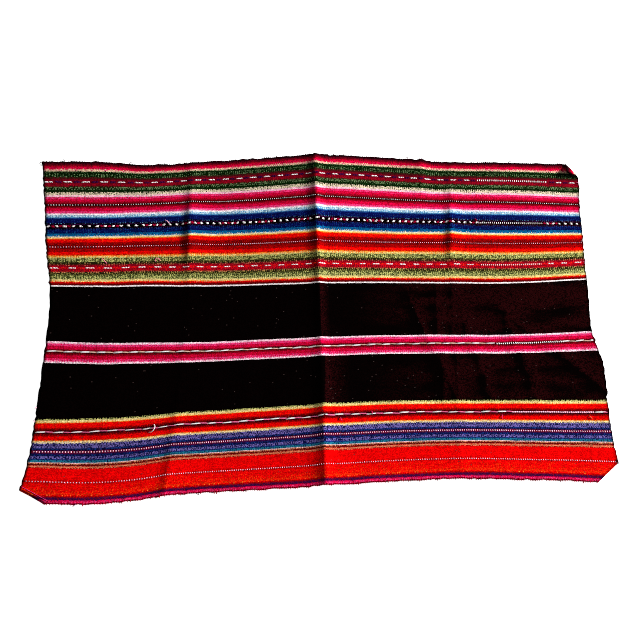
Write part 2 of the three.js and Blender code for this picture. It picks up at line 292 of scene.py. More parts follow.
STRIPES = (
    Stripe(9, Dye.RIM),
    Stripe(5, Dye.MAROON, Dye.RIM, 0.35),
    Stripe(6, Dye.WINE, Dye.MAROON, 0.3),
    Stripe(5, Dye.CRIMSON, Dye.WINE, 0.3),
    Stripe(7, Dye.CERISE, Dye.CRIMSON, 0.4),
    Stripe(3, Dye.CERISE, Dye.CREAM, 0.3),
    Stripe(5, Dye.CREAM, Dye.HOT_PINK, 0.4),
    Stripe(4, Dye.CREAM, Dye.BOTTLE, 0.25),
    Stripe(4, Dye.BOTTLE, Dye.SAGE, 0.35),
    Stripe(6, Dye.BOTTLE),
    Stripe(15, Dye.SAGE, Dye.BOTTLE, 0.74),
    Stripe(5, Dye.BARK, Dye.MAROON, 0.4),
    Stripe(5, Dye.MAROON, Dye.BARK, 0.3),
    Stripe(5, Dye.WINE, Dye.MAROON, 0.3),
    Stripe(12, Dye.MAROON, Dye.WINE, 0.5, row=Row.FAR_DASHES),
    Stripe(11, Dye.WINE, Dye.CRIMSON, 0.12),
    Stripe(5, Dye.BARK, Dye.WINE, 0.45),
    Stripe(5, Dye.BARK, Dye.SAGE, 0.4),
    Stripe(9, Dye.SAGE, Dye.BOTTLE, 0.68),
    Stripe(9, Dye.BOTTLE, Dye.MOSS, 0.2),
    Stripe(6, Dye.STONE, Dye.BOTTLE, 0.5),
    Stripe(9, Dye.STONE, Dye.BARK, 0.22),
    Stripe(9, Dye.BLUSH, Dye.STONE, 0.2),
    Stripe(10, Dye.HOT_PINK, Dye.CERISE, 0.45),
    Stripe(10, Dye.CERISE, Dye.CRIMSON, 0.5),
    Stripe(5, Dye.CRIMSON, Dye.WINE, 0.3),
    Stripe(5, Dye.WINE, Dye.CRIMSON, 0.2),
    Stripe(4, Dye.GARNET),
    Stripe(8, Dye.RIM, row=Row.PINK_DOTS),
    Stripe(6, Dye.GARNET),
    Stripe(5, Dye.WINE, Dye.CRIMSON, 0.3),
    Stripe(5, Dye.CRIMSON, Dye.CERISE, 0.4),
    Stripe(10, Dye.CERISE, Dye.CRIMSON, 0.4),
    Stripe(9, Dye.HOT_PINK, Dye.CERISE, 0.2),
    Stripe(5, Dye.BLUSH, Dye.HOT_PINK, 0.15),
    Stripe(5, Dye.WHITE, Dye.SKY, 0.3),
    Stripe(10, Dye.SKY, Dye.AZURE, 0.45),
    Stripe(4, Dye.AZURE, Dye.DENIM, 0.12),
    Stripe(5, Dye.DENIM, Dye.NAVY, 0.25),
    Stripe(4, Dye.NAVY),
    Stripe(16, Dye.NAVY, Dye.DENIM, 0.2),
    Stripe(4, Dye.INK, Dye.AZURE, 0.2),
    Stripe(5, Dye.INK, Dye.PLUM, 0.4),
    Stripe(15, Dye.SOOT, row=Row.CHECKS),
    Stripe(4, Dye.INK, Dye.PLUM, 0.3),
    Stripe(5, Dye.INK, Dye.DENIM, 0.35),
    Stripe(10, Dye.NAVY, Dye.DENIM, 0.26),
    Stripe(9, Dye.NAVY, Dye.LAGOON, 0.12),
    Stripe(9, Dye.LAGOON, Dye.NAVY, 0.2),
    Stripe(5, Dye.LAGOON, Dye.STONE, 0.2),
    Stripe(4, Dye.STONE, Dye.SKY, 0.4),
    Stripe(5, Dye.STRAW),
    Stripe(4, Dye.AMBER, Dye.FLAME, 0.3),
    Stripe(4, Dye.FLAME, Dye.SCARLET, 0.6),
    Stripe(12, Dye.SCARLET, Dye.FLAME, 0.12),
    Stripe(4, Dye.BRICK, Dye.SCARLET, 0.25),
    Stripe(10, Dye.BRICK, Dye.GARNET, 0.5),
    Stripe(5, Dye.GARNET, Dye.BRICK, 0.3),
    Stripe(9, Dye.GARNET, Dye.BRICK, 0.3, row=Row.RED_DOTS),
    Stripe(5, Dye.GARNET, Dye.BRICK, 0.35),
    Stripe(15, Dye.BRICK, Dye.GARNET, 0.25),
    Stripe(4, Dye.SCARLET, Dye.BRICK, 0.35),
    Stripe(10, Dye.SCARLET, Dye.FLAME, 0.1),
    Stripe(4, Dye.FLAME, Dye.BRICK, 0.5),
    Stripe(5, Dye.AMBER, Dye.FLAME, 0.35),
    Stripe(5, Dye.STRAW, Dye.AMBER, 0.5),
    Stripe(4, Dye.LIME, Dye.AMBER, 0.3),
    Stripe(19, Dye.LIME, Dye.LODEN, 0.55),
    Stripe(7, Dye.BARK, Dye.OLIVE, 0.2),
    Stripe(6, Dye.BARK, Dye.TAN, 0.2),
    Stripe(5, Dye.WINE, Dye.TAN, 0.15),
    Stripe(7, Dye.WINE, Dye.RUBY, 0.35),
    Stripe(10, Dye.RUBY, Dye.WINE, 0.3, row=Row.RUBY_DASHES),
    Stripe(13, Dye.RUBY, Dye.WINE, 0.6),
    Stripe(5, Dye.BARK, Dye.TAN, 0.4),
    Stripe(5, Dye.BARK, Dye.OLIVE, 0.35),
    Stripe(4, Dye.BARK, Dye.OLIVE, 0.3),
    Stripe(8, Dye.LIME, Dye.LODEN, 0.67),
    Stripe(15, Dye.LIME, Dye.LODEN, 0.5),
    Stripe(6, Dye.STRAW, Dye.LIME, 0.4),
    Stripe(5, Dye.AMBER, Dye.STRAW, 0.45),
    Stripe(4, Dye.SCARLET, Dye.TAN, 0.15),
    Stripe(5, Dye.BRICK, Dye.SCARLET, 0.2),
    Stripe(9, Dye.GARNET),
    Stripe(6, Dye.WHITE),
    Stripe(238, Dye.SOOT),
    Stripe(4, Dye.WHITE, Dye.BLUSH, 0.5),
    Stripe(4, Dye.BLUSH, Dye.HOT_PINK, 0.12),
    Stripe(9, Dye.HOT_PINK, Dye.CERISE, 0.3),
    Stripe(13, Dye.CERISE, Dye.CRIMSON, 0.45),
    Stripe(5, Dye.WINE, Dye.GARNET, 0.4),
    Stripe(9, Dye.RIM, Dye.GARNET, 0.3, row=Row.PINK_CORD),
    Stripe(5, Dye.GARNET, Dye.WINE, 0.4),
    Stripe(4, Dye.WINE, Dye.CRIMSON, 0.3),
    Stripe(13, Dye.CRIMSON, Dye.CERISE, 0.35),
    Stripe(9, Dye.HOT_PINK, Dye.CERISE, 0.45),
    Stripe(4, Dye.BLUSH, Dye.HOT_PINK, 0.5),
    Stripe(5, Dye.WHITE, Dye.BLUSH, 0.5),
    Stripe(208, Dye.SOOT),
    Stripe(5, Dye.LIME, Dye.SOOT, 0.48),
    Stripe(4, Dye.STRAW, Dye.LIME, 0.4),
    Stripe(5, Dye.STRAW, Dye.AMBER, 0.3),
    Stripe(3, Dye.AMBER, Dye.FLAME, 0.35),
    Stripe(18, Dye.SCARLET, Dye.FLAME, 0.08),
    Stripe(4, Dye.BRICK, Dye.SCARLET, 0.2),
    Stripe(5, Dye.GARNET, Dye.BRICK, 0.35),
    Stripe(17, Dye.GARNET, Dye.RIM, 0.6, row=Row.RED_CORD),
    Stripe(5, Dye.GARNET, Dye.BRICK, 0.3),
    Stripe(4, Dye.BRICK, Dye.SCARLET, 0.2),
    Stripe(13, Dye.SCARLET, Dye.BRICK, 0.12),
    Stripe(4, Dye.FLAME, Dye.BRICK, 0.4),
    Stripe(4, Dye.AMBER, Dye.STRAW, 0.35),
    Stripe(4, Dye.STRAW, Dye.STONE, 0.5),
    Stripe(4, Dye.STONE, Dye.INDIGO, 0.45),
    Stripe(10, Dye.INDIGO, Dye.VIOLET, 0.48),
    Stripe(9, Dye.VIOLET, Dye.INDIGO, 0.41),
    Stripe(7, Dye.INDIGO, Dye.DENIM, 0.45),
    Stripe(4, Dye.INK, Dye.PLUM, 0.5),
    Stripe(10, Dye.PLUM, Dye.WINE, 0.45, row=Row.VIOLET_DOTS),
    Stripe(4, Dye.PLUM, Dye.INDIGO, 0.4),
    Stripe(8, Dye.INDIGO, Dye.DENIM, 0.35),
    Stripe(12, Dye.VIOLET, Dye.INDIGO, 0.5),
    Stripe(5, Dye.INDIGO, Dye.DENIM, 0.6),
    Stripe(9, Dye.TEAL, Dye.INDIGO, 0.3),
    Stripe(3, Dye.BLUSH, Dye.ASH, 0.55),
    Stripe(5, Dye.TAN, Dye.GARNET, 0.45),
    Stripe(5, Dye.GARNET),
    Stripe(3, Dye.BRICK, Dye.TAN, 0.35),
    Stripe(5, Dye.TAN, Dye.SCARLET, 0.25),
    Stripe(4, Dye.BRICK, Dye.TAN, 0.3),
    Stripe(47, Dye.SCARLET),
    Stripe(5, Dye.SCARLET, Dye.BRICK, 0.35),
    Stripe(9, Dye.BRICK, Dye.SCARLET, 0.45, row=Row.SCARLET_DOTS),
    Stripe(4, Dye.SCARLET, Dye.BRICK, 0.3),
    Stripe(21, Dye.SCARLET, Dye.FLAME, 0.1),
    Stripe(13, Dye.SCARLET, Dye.FLAME, 0.28),
    Stripe(7, Dye.FLAME, Dye.SCARLET, 0.5),
    Stripe(4, Dye.SCARLET, Dye.AMBER, 0.12),
    Stripe(5, Dye.BRICK, Dye.SCARLET, 0.3),
    Stripe(4, Dye.WINE, Dye.PLUM, 0.4),
    Stripe(8, Dye.PLUM, Dye.WINE, 0.25),
    Stripe(3, Dye.CERISE, Dye.PLUM, 0.35),
    Stripe(8, Dye.CERISE, Dye.HOT_PINK, 0.4),
    Stripe(5, Dye.WINE, Dye.CERISE, 0.25),
)


def ease(low: float, high: float, at: np.ndarray) -> np.ndarray:
    """Smooth step from 0 at low to 1 at high."""
    share = np.clip((at - low) / (high - low), 0.0, 1.0)
    return share * share * (3.0 - 2.0 * share)


def smooth_through(places: Sequence[float], values: Sequence, at: np.ndarray) -> np.ndarray:
    """Smooth curve through values at rising places, held level past the first and last.

    Args:
        places: Rising places of the known values.
        values: A known value for each place, or an array of them with one for each place asked for.
        at: Places to read the curve at.

    Returns:
        The curve's value at each place asked for.
    """
    stations = np.asarray(places, float)
    known = np.array([np.broadcast_to(np.asarray(value, float), at.shape) for value in values])
    order = np.arange(len(stations))
    before = np.maximum(order - 1, 0)
    after = np.minimum(order + 1, len(stations) - 1)
    slopes = (known[after] - known[before]) / (stations[after] - stations[before])[:, None]
    place = np.clip(at, stations[0], stations[-1])
    k = np.clip(np.searchsorted(stations, place) - 1, 0, len(stations) - 2)
    run = stations[k + 1] - stations[k]
    t = (place - stations[k]) / run
    point = np.arange(at.size)
    bend = slopes[k, point] * run * t * (1.0 - t) ** 2 - slopes[k + 1, point] * run * t**2 * (1.0 - t)
    share = t * t * (3.0 - 2.0 * t)
    return known[k, point] * (1.0 - share) + known[k + 1, point] * share + bend


def on_guides(row: NamedTuple, from_far: np.ndarray) -> np.ndarray:
    """Value of a table row across the cloth, from its columns named after the guide stripes."""
    return smooth_through(list(GUIDES.values()), [getattr(row, name) for name in GUIDES], from_far)


@dataclass(frozen=True)
class LaidCloth:
    """The surface that the cloth follows, from places on the flat cloth to points in the frame."""

    length: float = 1100.0
    width: float = 700.0
    thickness: float = 2.0
    corner_slope: float = 80.0
    crest_radius: float = 1.2
    # Painted light on the fold flanks: the fold height that gets it in full, its sharpness towards the
    # crest, and where along the cloth it starts and reaches full strength.
    full_flank_light_height: float = 1.6
    flank_light_peak: float = 1.5
    flank_light_from: float = -15.0
    flank_light_full: float = 8.0
    cockle: float = 0.6
    cockle_waves: int = 6
    cockle_turns_along: tuple[float, float] = (4.0, 13.0)
    cockle_turns_across: tuple[float, float] = (-4.0, 4.0)
    edge_wander: float = 1.5
    wander_spread: float = 0.5
    wander_step: float = 5.0
    wander_reach: float = 6.0
    normal_step: float = 0.05
    seed: int = 11

    def wander(self, place: np.ndarray, side: int) -> np.ndarray:
        """Small in-and-out wander of one edge, at places along it.

        Args:
            place: Places along the edge.
            side: Number of the edge, which sets its own run of values.

        Returns:
            The outward shift at each place.
        """
        stations = np.arange(-self.length, self.length, self.wander_step)
        shifts = np.random.default_rng(self.seed + side).normal(0.0, self.wander_spread, stations.size)
        return self.edge_wander * np.interp(place, stations, shifts)

    def plan(self, along: np.ndarray, from_far: np.ndarray) -> tuple[np.ndarray, np.ndarray]:
        """Where places lie in plan, after the bow of the stripes and the swing of the ends.

        The swing dies out towards the middle of the cloth.

        Args:
            along: Places along the cloth from its middle.
            from_far: Places across it from the far edge.

        Returns:
            The plan's x and y.
        """
        across = [row.from_far for row in END_SWINGS]
        left = smooth_through(across, [row.left for row in END_SWINGS], from_far)
        right = smooth_through(across, [row.right for row in END_SWINGS], from_far)
        bow = smooth_through([row.along for row in BOWS], [on_guides(row, from_far) for row in BOWS], along)
        x = along * (1.0 + 2.0 * np.where(along < 0.0, left, right) / self.length)
        y = self.width / 2.0 - from_far + bow
        x += self.wander(from_far, 0) * np.exp(-(self.length / 2.0 - along) / self.wander_reach)
        x -= self.wander(from_far, 1) * np.exp(-(self.length / 2.0 + along) / self.wander_reach)
        y += self.wander(along, 2) * np.exp(-from_far / self.wander_reach)
        y -= self.wander(along, 3) * np.exp(-(self.width - from_far) / self.wander_reach)
        return x, y

    def past_crest(self, fold: Fold, along: np.ndarray, from_far: np.ndarray) -> np.ndarray:
        """How far places lie to the right of a fold's crest."""
        return along - (fold.far_at + (fold.near_at - fold.far_at) * from_far / self.width)

    def fold_share(self, fold: Fold, along: np.ndarray, from_far: np.ndarray) -> np.ndarray:
        """How near places are to one fold's crest.

        Args:
            fold: The fold.
            along: Places along the flat cloth.
            from_far: Places across it.

        Returns:
            A share for each place, from 0 past the fold's flanks to 1 on its crest.
        """
        past = self.past_crest(fold, along, from_far)
        reach = np.where(past < 0.0, fold.left_reach, fold.right_reach)
        distance = np.hypot(past, self.crest_radius) - self.crest_radius
        return np.maximum(1.0 - distance / reach, 0.0)

    def relief(self, along: np.ndarray, from_far: np.ndarray) -> np.ndarray:
        """Height of the underside's folds, wrinkles and uneven ground.

        Args:
            along: Places along the flat cloth.
            from_far: Places across it.

        Returns:
            A height for each place.
        """
        height = np.zeros_like(along)
        for fold in FOLDS + WRINKLES:
            crest_height = np.maximum(on_guides(fold, from_far), 0.0)
            height += crest_height * self.fold_share(fold, along, from_far) ** fold.peak
        return height + self.ground(along, from_far)

    def flank_light(self, along: np.ndarray, from_far: np.ndarray) -> np.ndarray:
        """How much painted light the folds of the right half get: painted highlight on their right flanks
        and painted shade on their left ones.

        Args:
            along: Places along the flat cloth.
            from_far: Places across it.

        Returns:
            A share for each place, above 0 on the right flanks of folds and below 0 on the left ones.
        """
        total = np.zeros_like(along)
        for fold in FOLDS[1:] + WRINKLES:
            strength = np.clip(on_guides(fold, from_far) / self.full_flank_light_height, 0.0, 1.0)
            side = np.clip(self.past_crest(fold, along, from_far) / self.crest_radius, -1.0, 1.0)
            total += strength * side * self.fold_share(fold, along, from_far) ** self.flank_light_peak
        return total * ease(self.flank_light_from, self.flank_light_full, along)

    def ground(self, along: np.ndarray, from_far: np.ndarray) -> np.ndarray:
        """Slight unevenness of cloth that never lies quite flat.

        Args:
            along: Places along the flat cloth.
            from_far: Places across it.

        Returns:
            A height for each place.
        """
        draw = np.random.default_rng(self.seed)
        waves = np.zeros_like(along)
        for _ in range(self.cockle_waves):
            turns_along = draw.uniform(*self.cockle_turns_along) / self.length
            turns_across = draw.uniform(*self.cockle_turns_across) / self.width
            start = draw.uniform()
            waves += np.sin(2.0 * math.pi * (turns_along * along + turns_across * from_far + start))
        return self.cockle * np.clip(0.5 + waves / self.cockle_waves, 0.0, 1.0)

    def past_fold(self, corner: Corner, along: np.ndarray, from_far: np.ndarray) -> np.ndarray:
        """How far places lie past a corner's fold line, towards its tip.

        Args:
            corner: The turned corner.
            along: Places along the flat cloth.
            from_far: Places across it.

        Returns:
            A distance for each place, below 0 on the cloth's own side of the line.
        """
        from_end = self.length / 2.0 - corner.end * along
        from_edge = from_far if corner.edge is Edge.FAR else self.width - from_far
        share = 1.0 - from_end / corner.leg_along - from_edge / corner.leg_across
        return share * self.flap_height(corner)

    def from_turn(self, along: np.ndarray, from_far: np.ndarray) -> np.ndarray:
        """Distance of places from the nearest fold line of a corner that is turned under."""
        under = [corner for corner in CORNERS if corner.turn is Turn.UNDER]
        return np.min([np.abs(self.past_fold(corner, along, from_far)) for corner in under], axis=0)

    def flap_height(self, corner: Corner) -> float:
        """Distance from a corner's fold line to its tip."""
        return 1.0 / math.hypot(1.0 / corner.leg_along, 1.0 / corner.leg_across)

    def bend(self, corner: Corner) -> tuple[float, float]:
        """Radius and length of a corner's bend, at the cloth's underside."""
        radius = corner.gap / 2.0 + (self.thickness if corner.turn is Turn.OVER else 0.0)
        return radius, radius * math.radians(corner.degrees)

    def turned(self, along: np.ndarray, from_far: np.ndarray) -> tuple[np.ndarray, np.ndarray, np.ndarray]:
        """Where places go when the corners are turned.

        Args:
            along: Places along the flat cloth.
            from_far: Places across it.

        Returns:
            The new places along and across the cloth, and their height above it.
        """
        along, from_far = along.copy(), from_far.copy()
        rise = np.zeros_like(along)
        for corner in CORNERS:
            radius, length = self.bend(corner)
            past = np.maximum(self.past_fold(corner, along, from_far), 0.0)
            angle = np.minimum(past, length) / radius
            straight = np.maximum(past - length, 0.0)
            out = radius * np.sin(angle) + straight * np.cos(angle)
            up = radius * (1.0 - np.cos(angle)) + straight * np.sin(angle)
            step = (out - past) * self.flap_height(corner)
            along += corner.end * step / corner.leg_along
            from_far += corner.edge.value * step / corner.leg_across
            rise += corner.turn.value * up
        return along, from_far, rise

    def corner_lift(self, along: np.ndarray, from_far: np.ndarray) -> np.ndarray:
        """Height that the cloth is lifted by the corners lying beneath it.

        Args:
            along: Places along the flat cloth.
            from_far: Places across it.

        Returns:
            A height for each place.
        """
        lift = np.zeros_like(along)
        for corner in CORNERS:
            if corner.turn is Turn.UNDER:
                inner = self.bend(corner)[1] - self.flap_height(corner)
                share = ease(inner - self.corner_slope, inner, self.past_fold(corner, along, from_far))
                lift += (corner.gap + self.thickness) * share
        return lift

    def under(self, along: np.ndarray, from_far: np.ndarray) -> np.ndarray:
        """Points on the underside of the laid cloth.

        Args:
            along: Places along the flat cloth.
            from_far: Places across it.

        Returns:
            One row of x, y and z for each place, in millimetres.
        """
        along, from_far, rise = self.turned(along, from_far)
        x, y = self.plan(along, from_far)
        height = self.relief(along, from_far) + self.corner_lift(along, from_far)
        return np.stack([x, y, height + rise], axis=1)

    def lay(self, along: np.ndarray, from_far: np.ndarray, lift: np.ndarray) -> np.ndarray:
        """Points of the laid cloth in the frame.

        Args:
            along: Places along the flat cloth.
            from_far: Places across it.
            lift: Heights off the underside, square to the cloth.

        Returns:
            One row of x, y and z for each place, in metres.
        """
        step = self.normal_step
        alongward = self.under(along + step, from_far) - self.under(along - step, from_far)
        farward = self.under(along, from_far - step) - self.under(along, from_far + step)
        normal = np.cross(alongward, farward)
        normal /= np.linalg.norm(normal, axis=1, keepdims=True)
        points = self.under(along, from_far) + normal * lift[:, None]
        points[:, 2] = np.maximum(points[:, 2], 0.0)
        return points * MM


@dataclass(frozen=True)
class WeftGauge:
    """Counts the wefts along the cloth, which lie further apart towards the left end."""

    cloth: LaidCloth
    pitch: float = 2.05
    slack: float = 0.34
    slack_start: float = -235.0
    slack_full: float = -470.0
    past_end: float = 20.0

    def tally(self) -> tuple[np.ndarray, np.ndarray]:
        """Count the wefts from one end of the cloth to the other.

        Returns:
            Places along the cloth, a millimetre apart and past both ends, and the weft count at each.
        """
        reach = self.cloth.length / 2.0 + self.past_end
        along = np.arange(-reach, reach + 1.0)
        pitch = self.pitch * (1.0 + self.slack * ease(self.slack_start, self.slack_full, along))
        return along, np.cumsum(1.0 / pitch)

    def count(self, along: np.ndarray) -> np.ndarray:
        """Weft count at places along the cloth."""
        return np.interp(along, *self.tally())

    def along(self, count: np.ndarray) -> np.ndarray:
        """Places along the cloth at weft counts."""
        places, counts = self.tally()
        return np.interp(count, counts, places)


@dataclass(frozen=True)
class StripeChart:
    """The warp stripes in order from the far edge, fitted to the cloth's width."""

    cloth: LaidCloth
    stripes: tuple[Stripe, ...] = STRIPES
    crown_height: float = 0.18
    widest_crown: int = 40

    def bounds(self) -> np.ndarray:
        """Where each stripe starts from the far edge, and where the last one ends."""
        edges = np.concatenate([[0.0], np.cumsum([stripe.ends for stripe in self.stripes])])
        return edges * self.cloth.width / edges[-1]

    def middle(self, row: Row) -> float:
        """Middle of the stripe that carries a patterned row.

        Args:
            row: The patterned row.

        Returns:
            Its distance from the far edge.
        """
        edges = self.bounds()
        index = [stripe.row for stripe in self.stripes].index(row)
        return float(edges[index] + edges[index + 1]) / 2.0

    def crown(self, from_far: np.ndarray) -> np.ndarray:
        """How far the stripes' rounded backs stand up.

        Args:
            from_far: Places across the cloth.

        Returns:
            A height for each place.
        """
        edges = self.bounds()
        middles = (edges[:-1] + edges[1:]) / 2.0
        places = np.sort(np.concatenate([edges, middles]))
        heights = np.zeros(places.size)
        heights[1::2] = [self.crown_height * (stripe.ends < self.widest_crown) for stripe in self.stripes]
        return np.interp(from_far, places, heights)


def new_piece(name: str, points: np.ndarray, faces: list, finish: bpy.types.Material) -> bpy.types.Object:
    """Make a smooth mesh object, put it in the scene and let it ride on the cloth's body.

    Args:
        name: Name of the piece.
        points: One row of x, y and z for each vertex, in metres.
        faces: Vertex numbers of each face.
        finish: Material of the piece.

    Returns:
        The new object.
    """
    mesh = bpy.data.meshes.new(name)
    mesh.from_pydata(points.tolist(), [], faces)
    mesh.polygons.foreach_set("use_smooth", np.ones(len(mesh.polygons), bool))
    mesh.materials.append(finish)
    mesh.update()
    piece = bpy.data.objects.new(name, mesh)
    bpy.context.scene.collection.objects.link(piece)
    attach(piece, BODY)
    return piece


def add_map(piece: bpy.types.Object, name: str, corners: np.ndarray) -> None:
    """Give a piece a UV map.

    Args:
        piece: Object that gets the map.
        name: Name of the map.
        corners: One row of u and v for each face corner.
    """
    layer = piece.data.uv_layers.new(name=name)
    layer.data.foreach_set("uv", corners.astype(np.float32).ravel())


def corner_vertices(piece: bpy.types.Object) -> np.ndarray:
    """Read which vertex each face corner of a piece has.

    Args:
        piece: Object to read.

    Returns:
        The vertex number of each face corner.
    """
    numbers = np.empty(len(piece.data.loops), np.int32)
    piece.data.loops.foreach_get("vertex_index", numbers)
    return numbers


@dataclass(frozen=True)
class WovenPanel:
    """The woven sheet: a closed mesh on the folds of its solid, with its corners turned."""

    cloth: LaidCloth
    chart: StripeChart
    gauge: WeftGauge
    corner_lines: int = 20
    middle_columns: int = 158
    crease_gain: float = 2.2
    crease_spread: float = 26.0
    crease_samples: int = 2000
    last_stripe_row: float = 640.0
    joining_rows: int = 8
    widest_row: float = 6.0
    closest_row: float = 1.5
    rim_share: float = 0.45
    edge_bead: float = 0.35
    edge_bead_reach: float = 5.0
    rim_inset: float = 1.0e-6
    wall_spread: float = 1.008
    top_map: tuple[float, float, float, float] = (0.01, 0.30, 0.99, 0.99)
    under_map: tuple[float, float, float, float] = (0.01, 0.01, 0.60, 0.28)

    def leg(self, end: int, edge: Edge, name: str, usual: float) -> float:
        """Reach of a corner's fold line along one of the cloth's edges.

        Args:
            end: End of the cloth, -1 at the left and 1 at the right.
            edge: Long edge of the cloth.
            name: Name of the corner's column to read.
            usual: Reach to give a corner that isn't turned.

        Returns:
            The reach.
        """
        for corner in CORNERS:
            if corner.end == end and corner.edge is edge:
                return getattr(corner, name)
        return usual

    def columns(self) -> np.ndarray:
        """Place the mesh lines that run across the cloth.

        Returns:
            One row for each line: its places on the far and near edges.
        """
        half = self.cloth.length / 2.0
        usual = self.leg(-1, Edge.NEAR, "leg_along", 0.0)
        left = [self.leg(-1, edge, "leg_along", usual) for edge in Edge]
        right = [self.leg(1, edge, "leg_along", usual) for edge in Edge]
        steps = np.linspace(0.0, 1.0, self.corner_lines + 1)[:, None]
        left_block = -half + steps * np.array(left)
        right_block = half - (1.0 - steps) * np.array(right)
        share = self.middle_shares(-half + left[0], half - right[0])[:, None]
        middle = left_block[-1] + share * (right_block[0] - left_block[-1])
        return np.concatenate([left_block, middle[1:-1], right_block])

    def middle_shares(self, start: float, end: float) -> np.ndarray:
        """Space the lines between the end blocks, closer together on the creases.

        Args:
            start: Where the lines start along the cloth.
            end: Where they end.

        Returns:
            The share of the way from start to end for each line.
        """
        along = np.linspace(start, end, self.crease_samples)
        density = np.ones_like(along)
        for fold in FOLDS[1:]:
            crest = (fold.far_at + fold.near_at) / 2.0
            density += self.crease_gain * np.exp(-(((along - crest) / self.crease_spread) ** 2))
        total = np.concatenate([[0.0], np.cumsum((density[1:] + density[:-1]) / 2.0)])
        places = np.interp(np.linspace(0.0, total[-1], self.middle_columns), total, along)
        return (places - start) / (end - start)

    def rows(self) -> np.ndarray:
        """Place the mesh lines that run along the cloth.

        Returns:
            One row for each line: its places on the left and right ends.
        """
        width = self.cloth.width
        far = self.leg(1, Edge.FAR, "leg_across", 0.0)
        near = np.array([self.leg(end, Edge.NEAR, "leg_across", 0.0) for end in (-1, 1)])
        steps = np.linspace(0.0, 1.0, self.corner_lines + 1)[:, None]
        far_block = np.repeat(far * steps, 2, axis=1)
        stripe_rows = np.repeat(self.stripe_rows(far)[:, None], 2, axis=1)
        near_block = width - (1.0 - steps) * near
        joins = np.linspace(0.0, 1.0, self.joining_rows + 2)[1:-1, None]
        joining = stripe_rows[-1] + joins * (near_block[0] - stripe_rows[-1])
        return np.concatenate([far_block, stripe_rows, joining, near_block])

    def stripe_rows(self, start: float) -> np.ndarray:
        """Place mesh lines on the edges and middles of the stripes.

        Args:
            start: Distance from the far edge after which the lines start.

        Returns:
            Their distances from the far edge.
        """
        edges = self.chart.bounds()
        places = []
        for low, high in zip(edges[:-1], edges[1:]):
            parts = max(2, math.ceil((high - low) / self.widest_row))
            places.extend(np.linspace(low, high, parts, endpoint=False))
        kept = [start]
        for place in places:
            if place - kept[-1] >= self.closest_row and place <= self.last_stripe_row:
                kept.append(place)
        return np.array(kept[1:])

    def places(self, columns: np.ndarray, rows: np.ndarray) -> tuple[np.ndarray, np.ndarray]:
        """Find where the mesh lines cross, line by line from the left end.

        Args:
            columns: Lines across the cloth, by their places on the far and near edges.
            rows: Lines along it, by their places on the left and right ends.

        Returns:
            Places along and across the flat cloth.
        """
        lean_across = (rows[:, 1] - rows[:, 0]) / self.cloth.length
        lean_along = (columns[:, 1] - columns[:, 0]) / self.cloth.width
        middle = rows.mean(axis=1)
        start = columns[:, :1]
        from_far = (middle + lean_across * start) / (1.0 - lean_across * lean_along[:, None])
        along = start + lean_along[:, None] * from_far
        return along.ravel(), from_far.ravel()

    def faces(self, columns: int, rows: int) -> tuple[list, list]:
        """Faces of one side of the sheet, seen from above, and its edge.

        Args:
            columns: Number of lines across the cloth.
            rows: Number of lines along it.

        Returns:
            The faces, split along the fold lines in the turned corners, and the edge's vertices in order.
        """
        faces = []
        for i in range(columns - 1):
            end = -1 if i < self.corner_lines else 1 if i >= columns - 1 - self.corner_lines else 0
            for j in range(rows - 1):
                a = i * rows + j
                b, c, d = a + 1, a + rows + 1, a + rows
                far = j < self.corner_lines
                near = j >= rows - 1 - self.corner_lines
                if end == 0 or not (far or near):
                    faces.append((a, b, c, d))
                elif (end > 0) == far:
                    faces.extend([(a, b, c), (a, c, d)])
                else:
                    faces.extend([(a, b, d), (b, c, d)])
        edge = list(range(rows - 1))
        edge += [i * rows + rows - 1 for i in range(columns - 1)]
        edge += [(columns - 1) * rows + j for j in range(rows - 1, 0, -1)]
        edge += [i * rows for i in range(columns - 1, 0, -1)]
        return faces, edge

    def side_lifts(self, along: np.ndarray, from_far: np.ndarray) -> tuple[np.ndarray, np.ndarray]:
        """Heights of both sides off the underside, thinner on the rim and beaded beside it.

        Args:
            along: Places along the flat cloth.
            from_far: Places across it.

        Returns:
            The heights of the lower side and of the upper one.
        """
        from_edge = np.minimum(from_far, self.cloth.width - from_far)
        inset = np.minimum(self.cloth.length / 2.0 - np.abs(along), from_edge)
        share = np.where(inset < self.rim_inset, self.rim_share, 1.0)
        middle = self.cloth.thickness / 2.0
        bead = self.edge_bead * np.exp(-inset / self.edge_bead_reach)
        top = self.cloth.thickness + bead + self.chart.crown(from_far)
        return middle * (1.0 - share), middle + share * (top - middle)

    def build(self, finish: bpy.types.Material) -> bpy.types.Object:
        """Args:
            finish: Material of the striped wool.

        Returns:
            The sheet.
        """
        columns, rows = self.columns(), self.rows()
        along, from_far = self.places(columns, rows)
        low, high = self.side_lifts(along, from_far)
        points = np.concatenate([self.cloth.lay(along, from_far, lift) for lift in (low, high)])
        top, edge = self.faces(len(columns), len(rows))
        lift = along.size
        faces = [tuple(v + lift for v in face) for face in top]
        faces += [face[::-1] for face in top]
        wall = [(a, b, b + lift, a + lift) for a, b in zip(edge, edge[1:] + edge[:1])]
        panel = new_piece("woven_panel", points, faces + wall, finish)
        self.add_maps(panel, along, from_far, len(top))
        for name, values in (
            # Painted highlights on the right flanks of folds and painted shade on their left flanks.
            (FLANK_LIGHT, self.cloth.flank_light(along, from_far)),
            # Distance from the fold lines of the corners turned under, for painted shade along them.
            (TURNED, self.cloth.from_turn(along, from_far)),
        ):
            layer = panel.data.attributes.new(name, "FLOAT", "POINT")
            layer.data.foreach_set("value", np.tile(values, 2).astype(np.float32))
        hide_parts(NODE)
        return panel

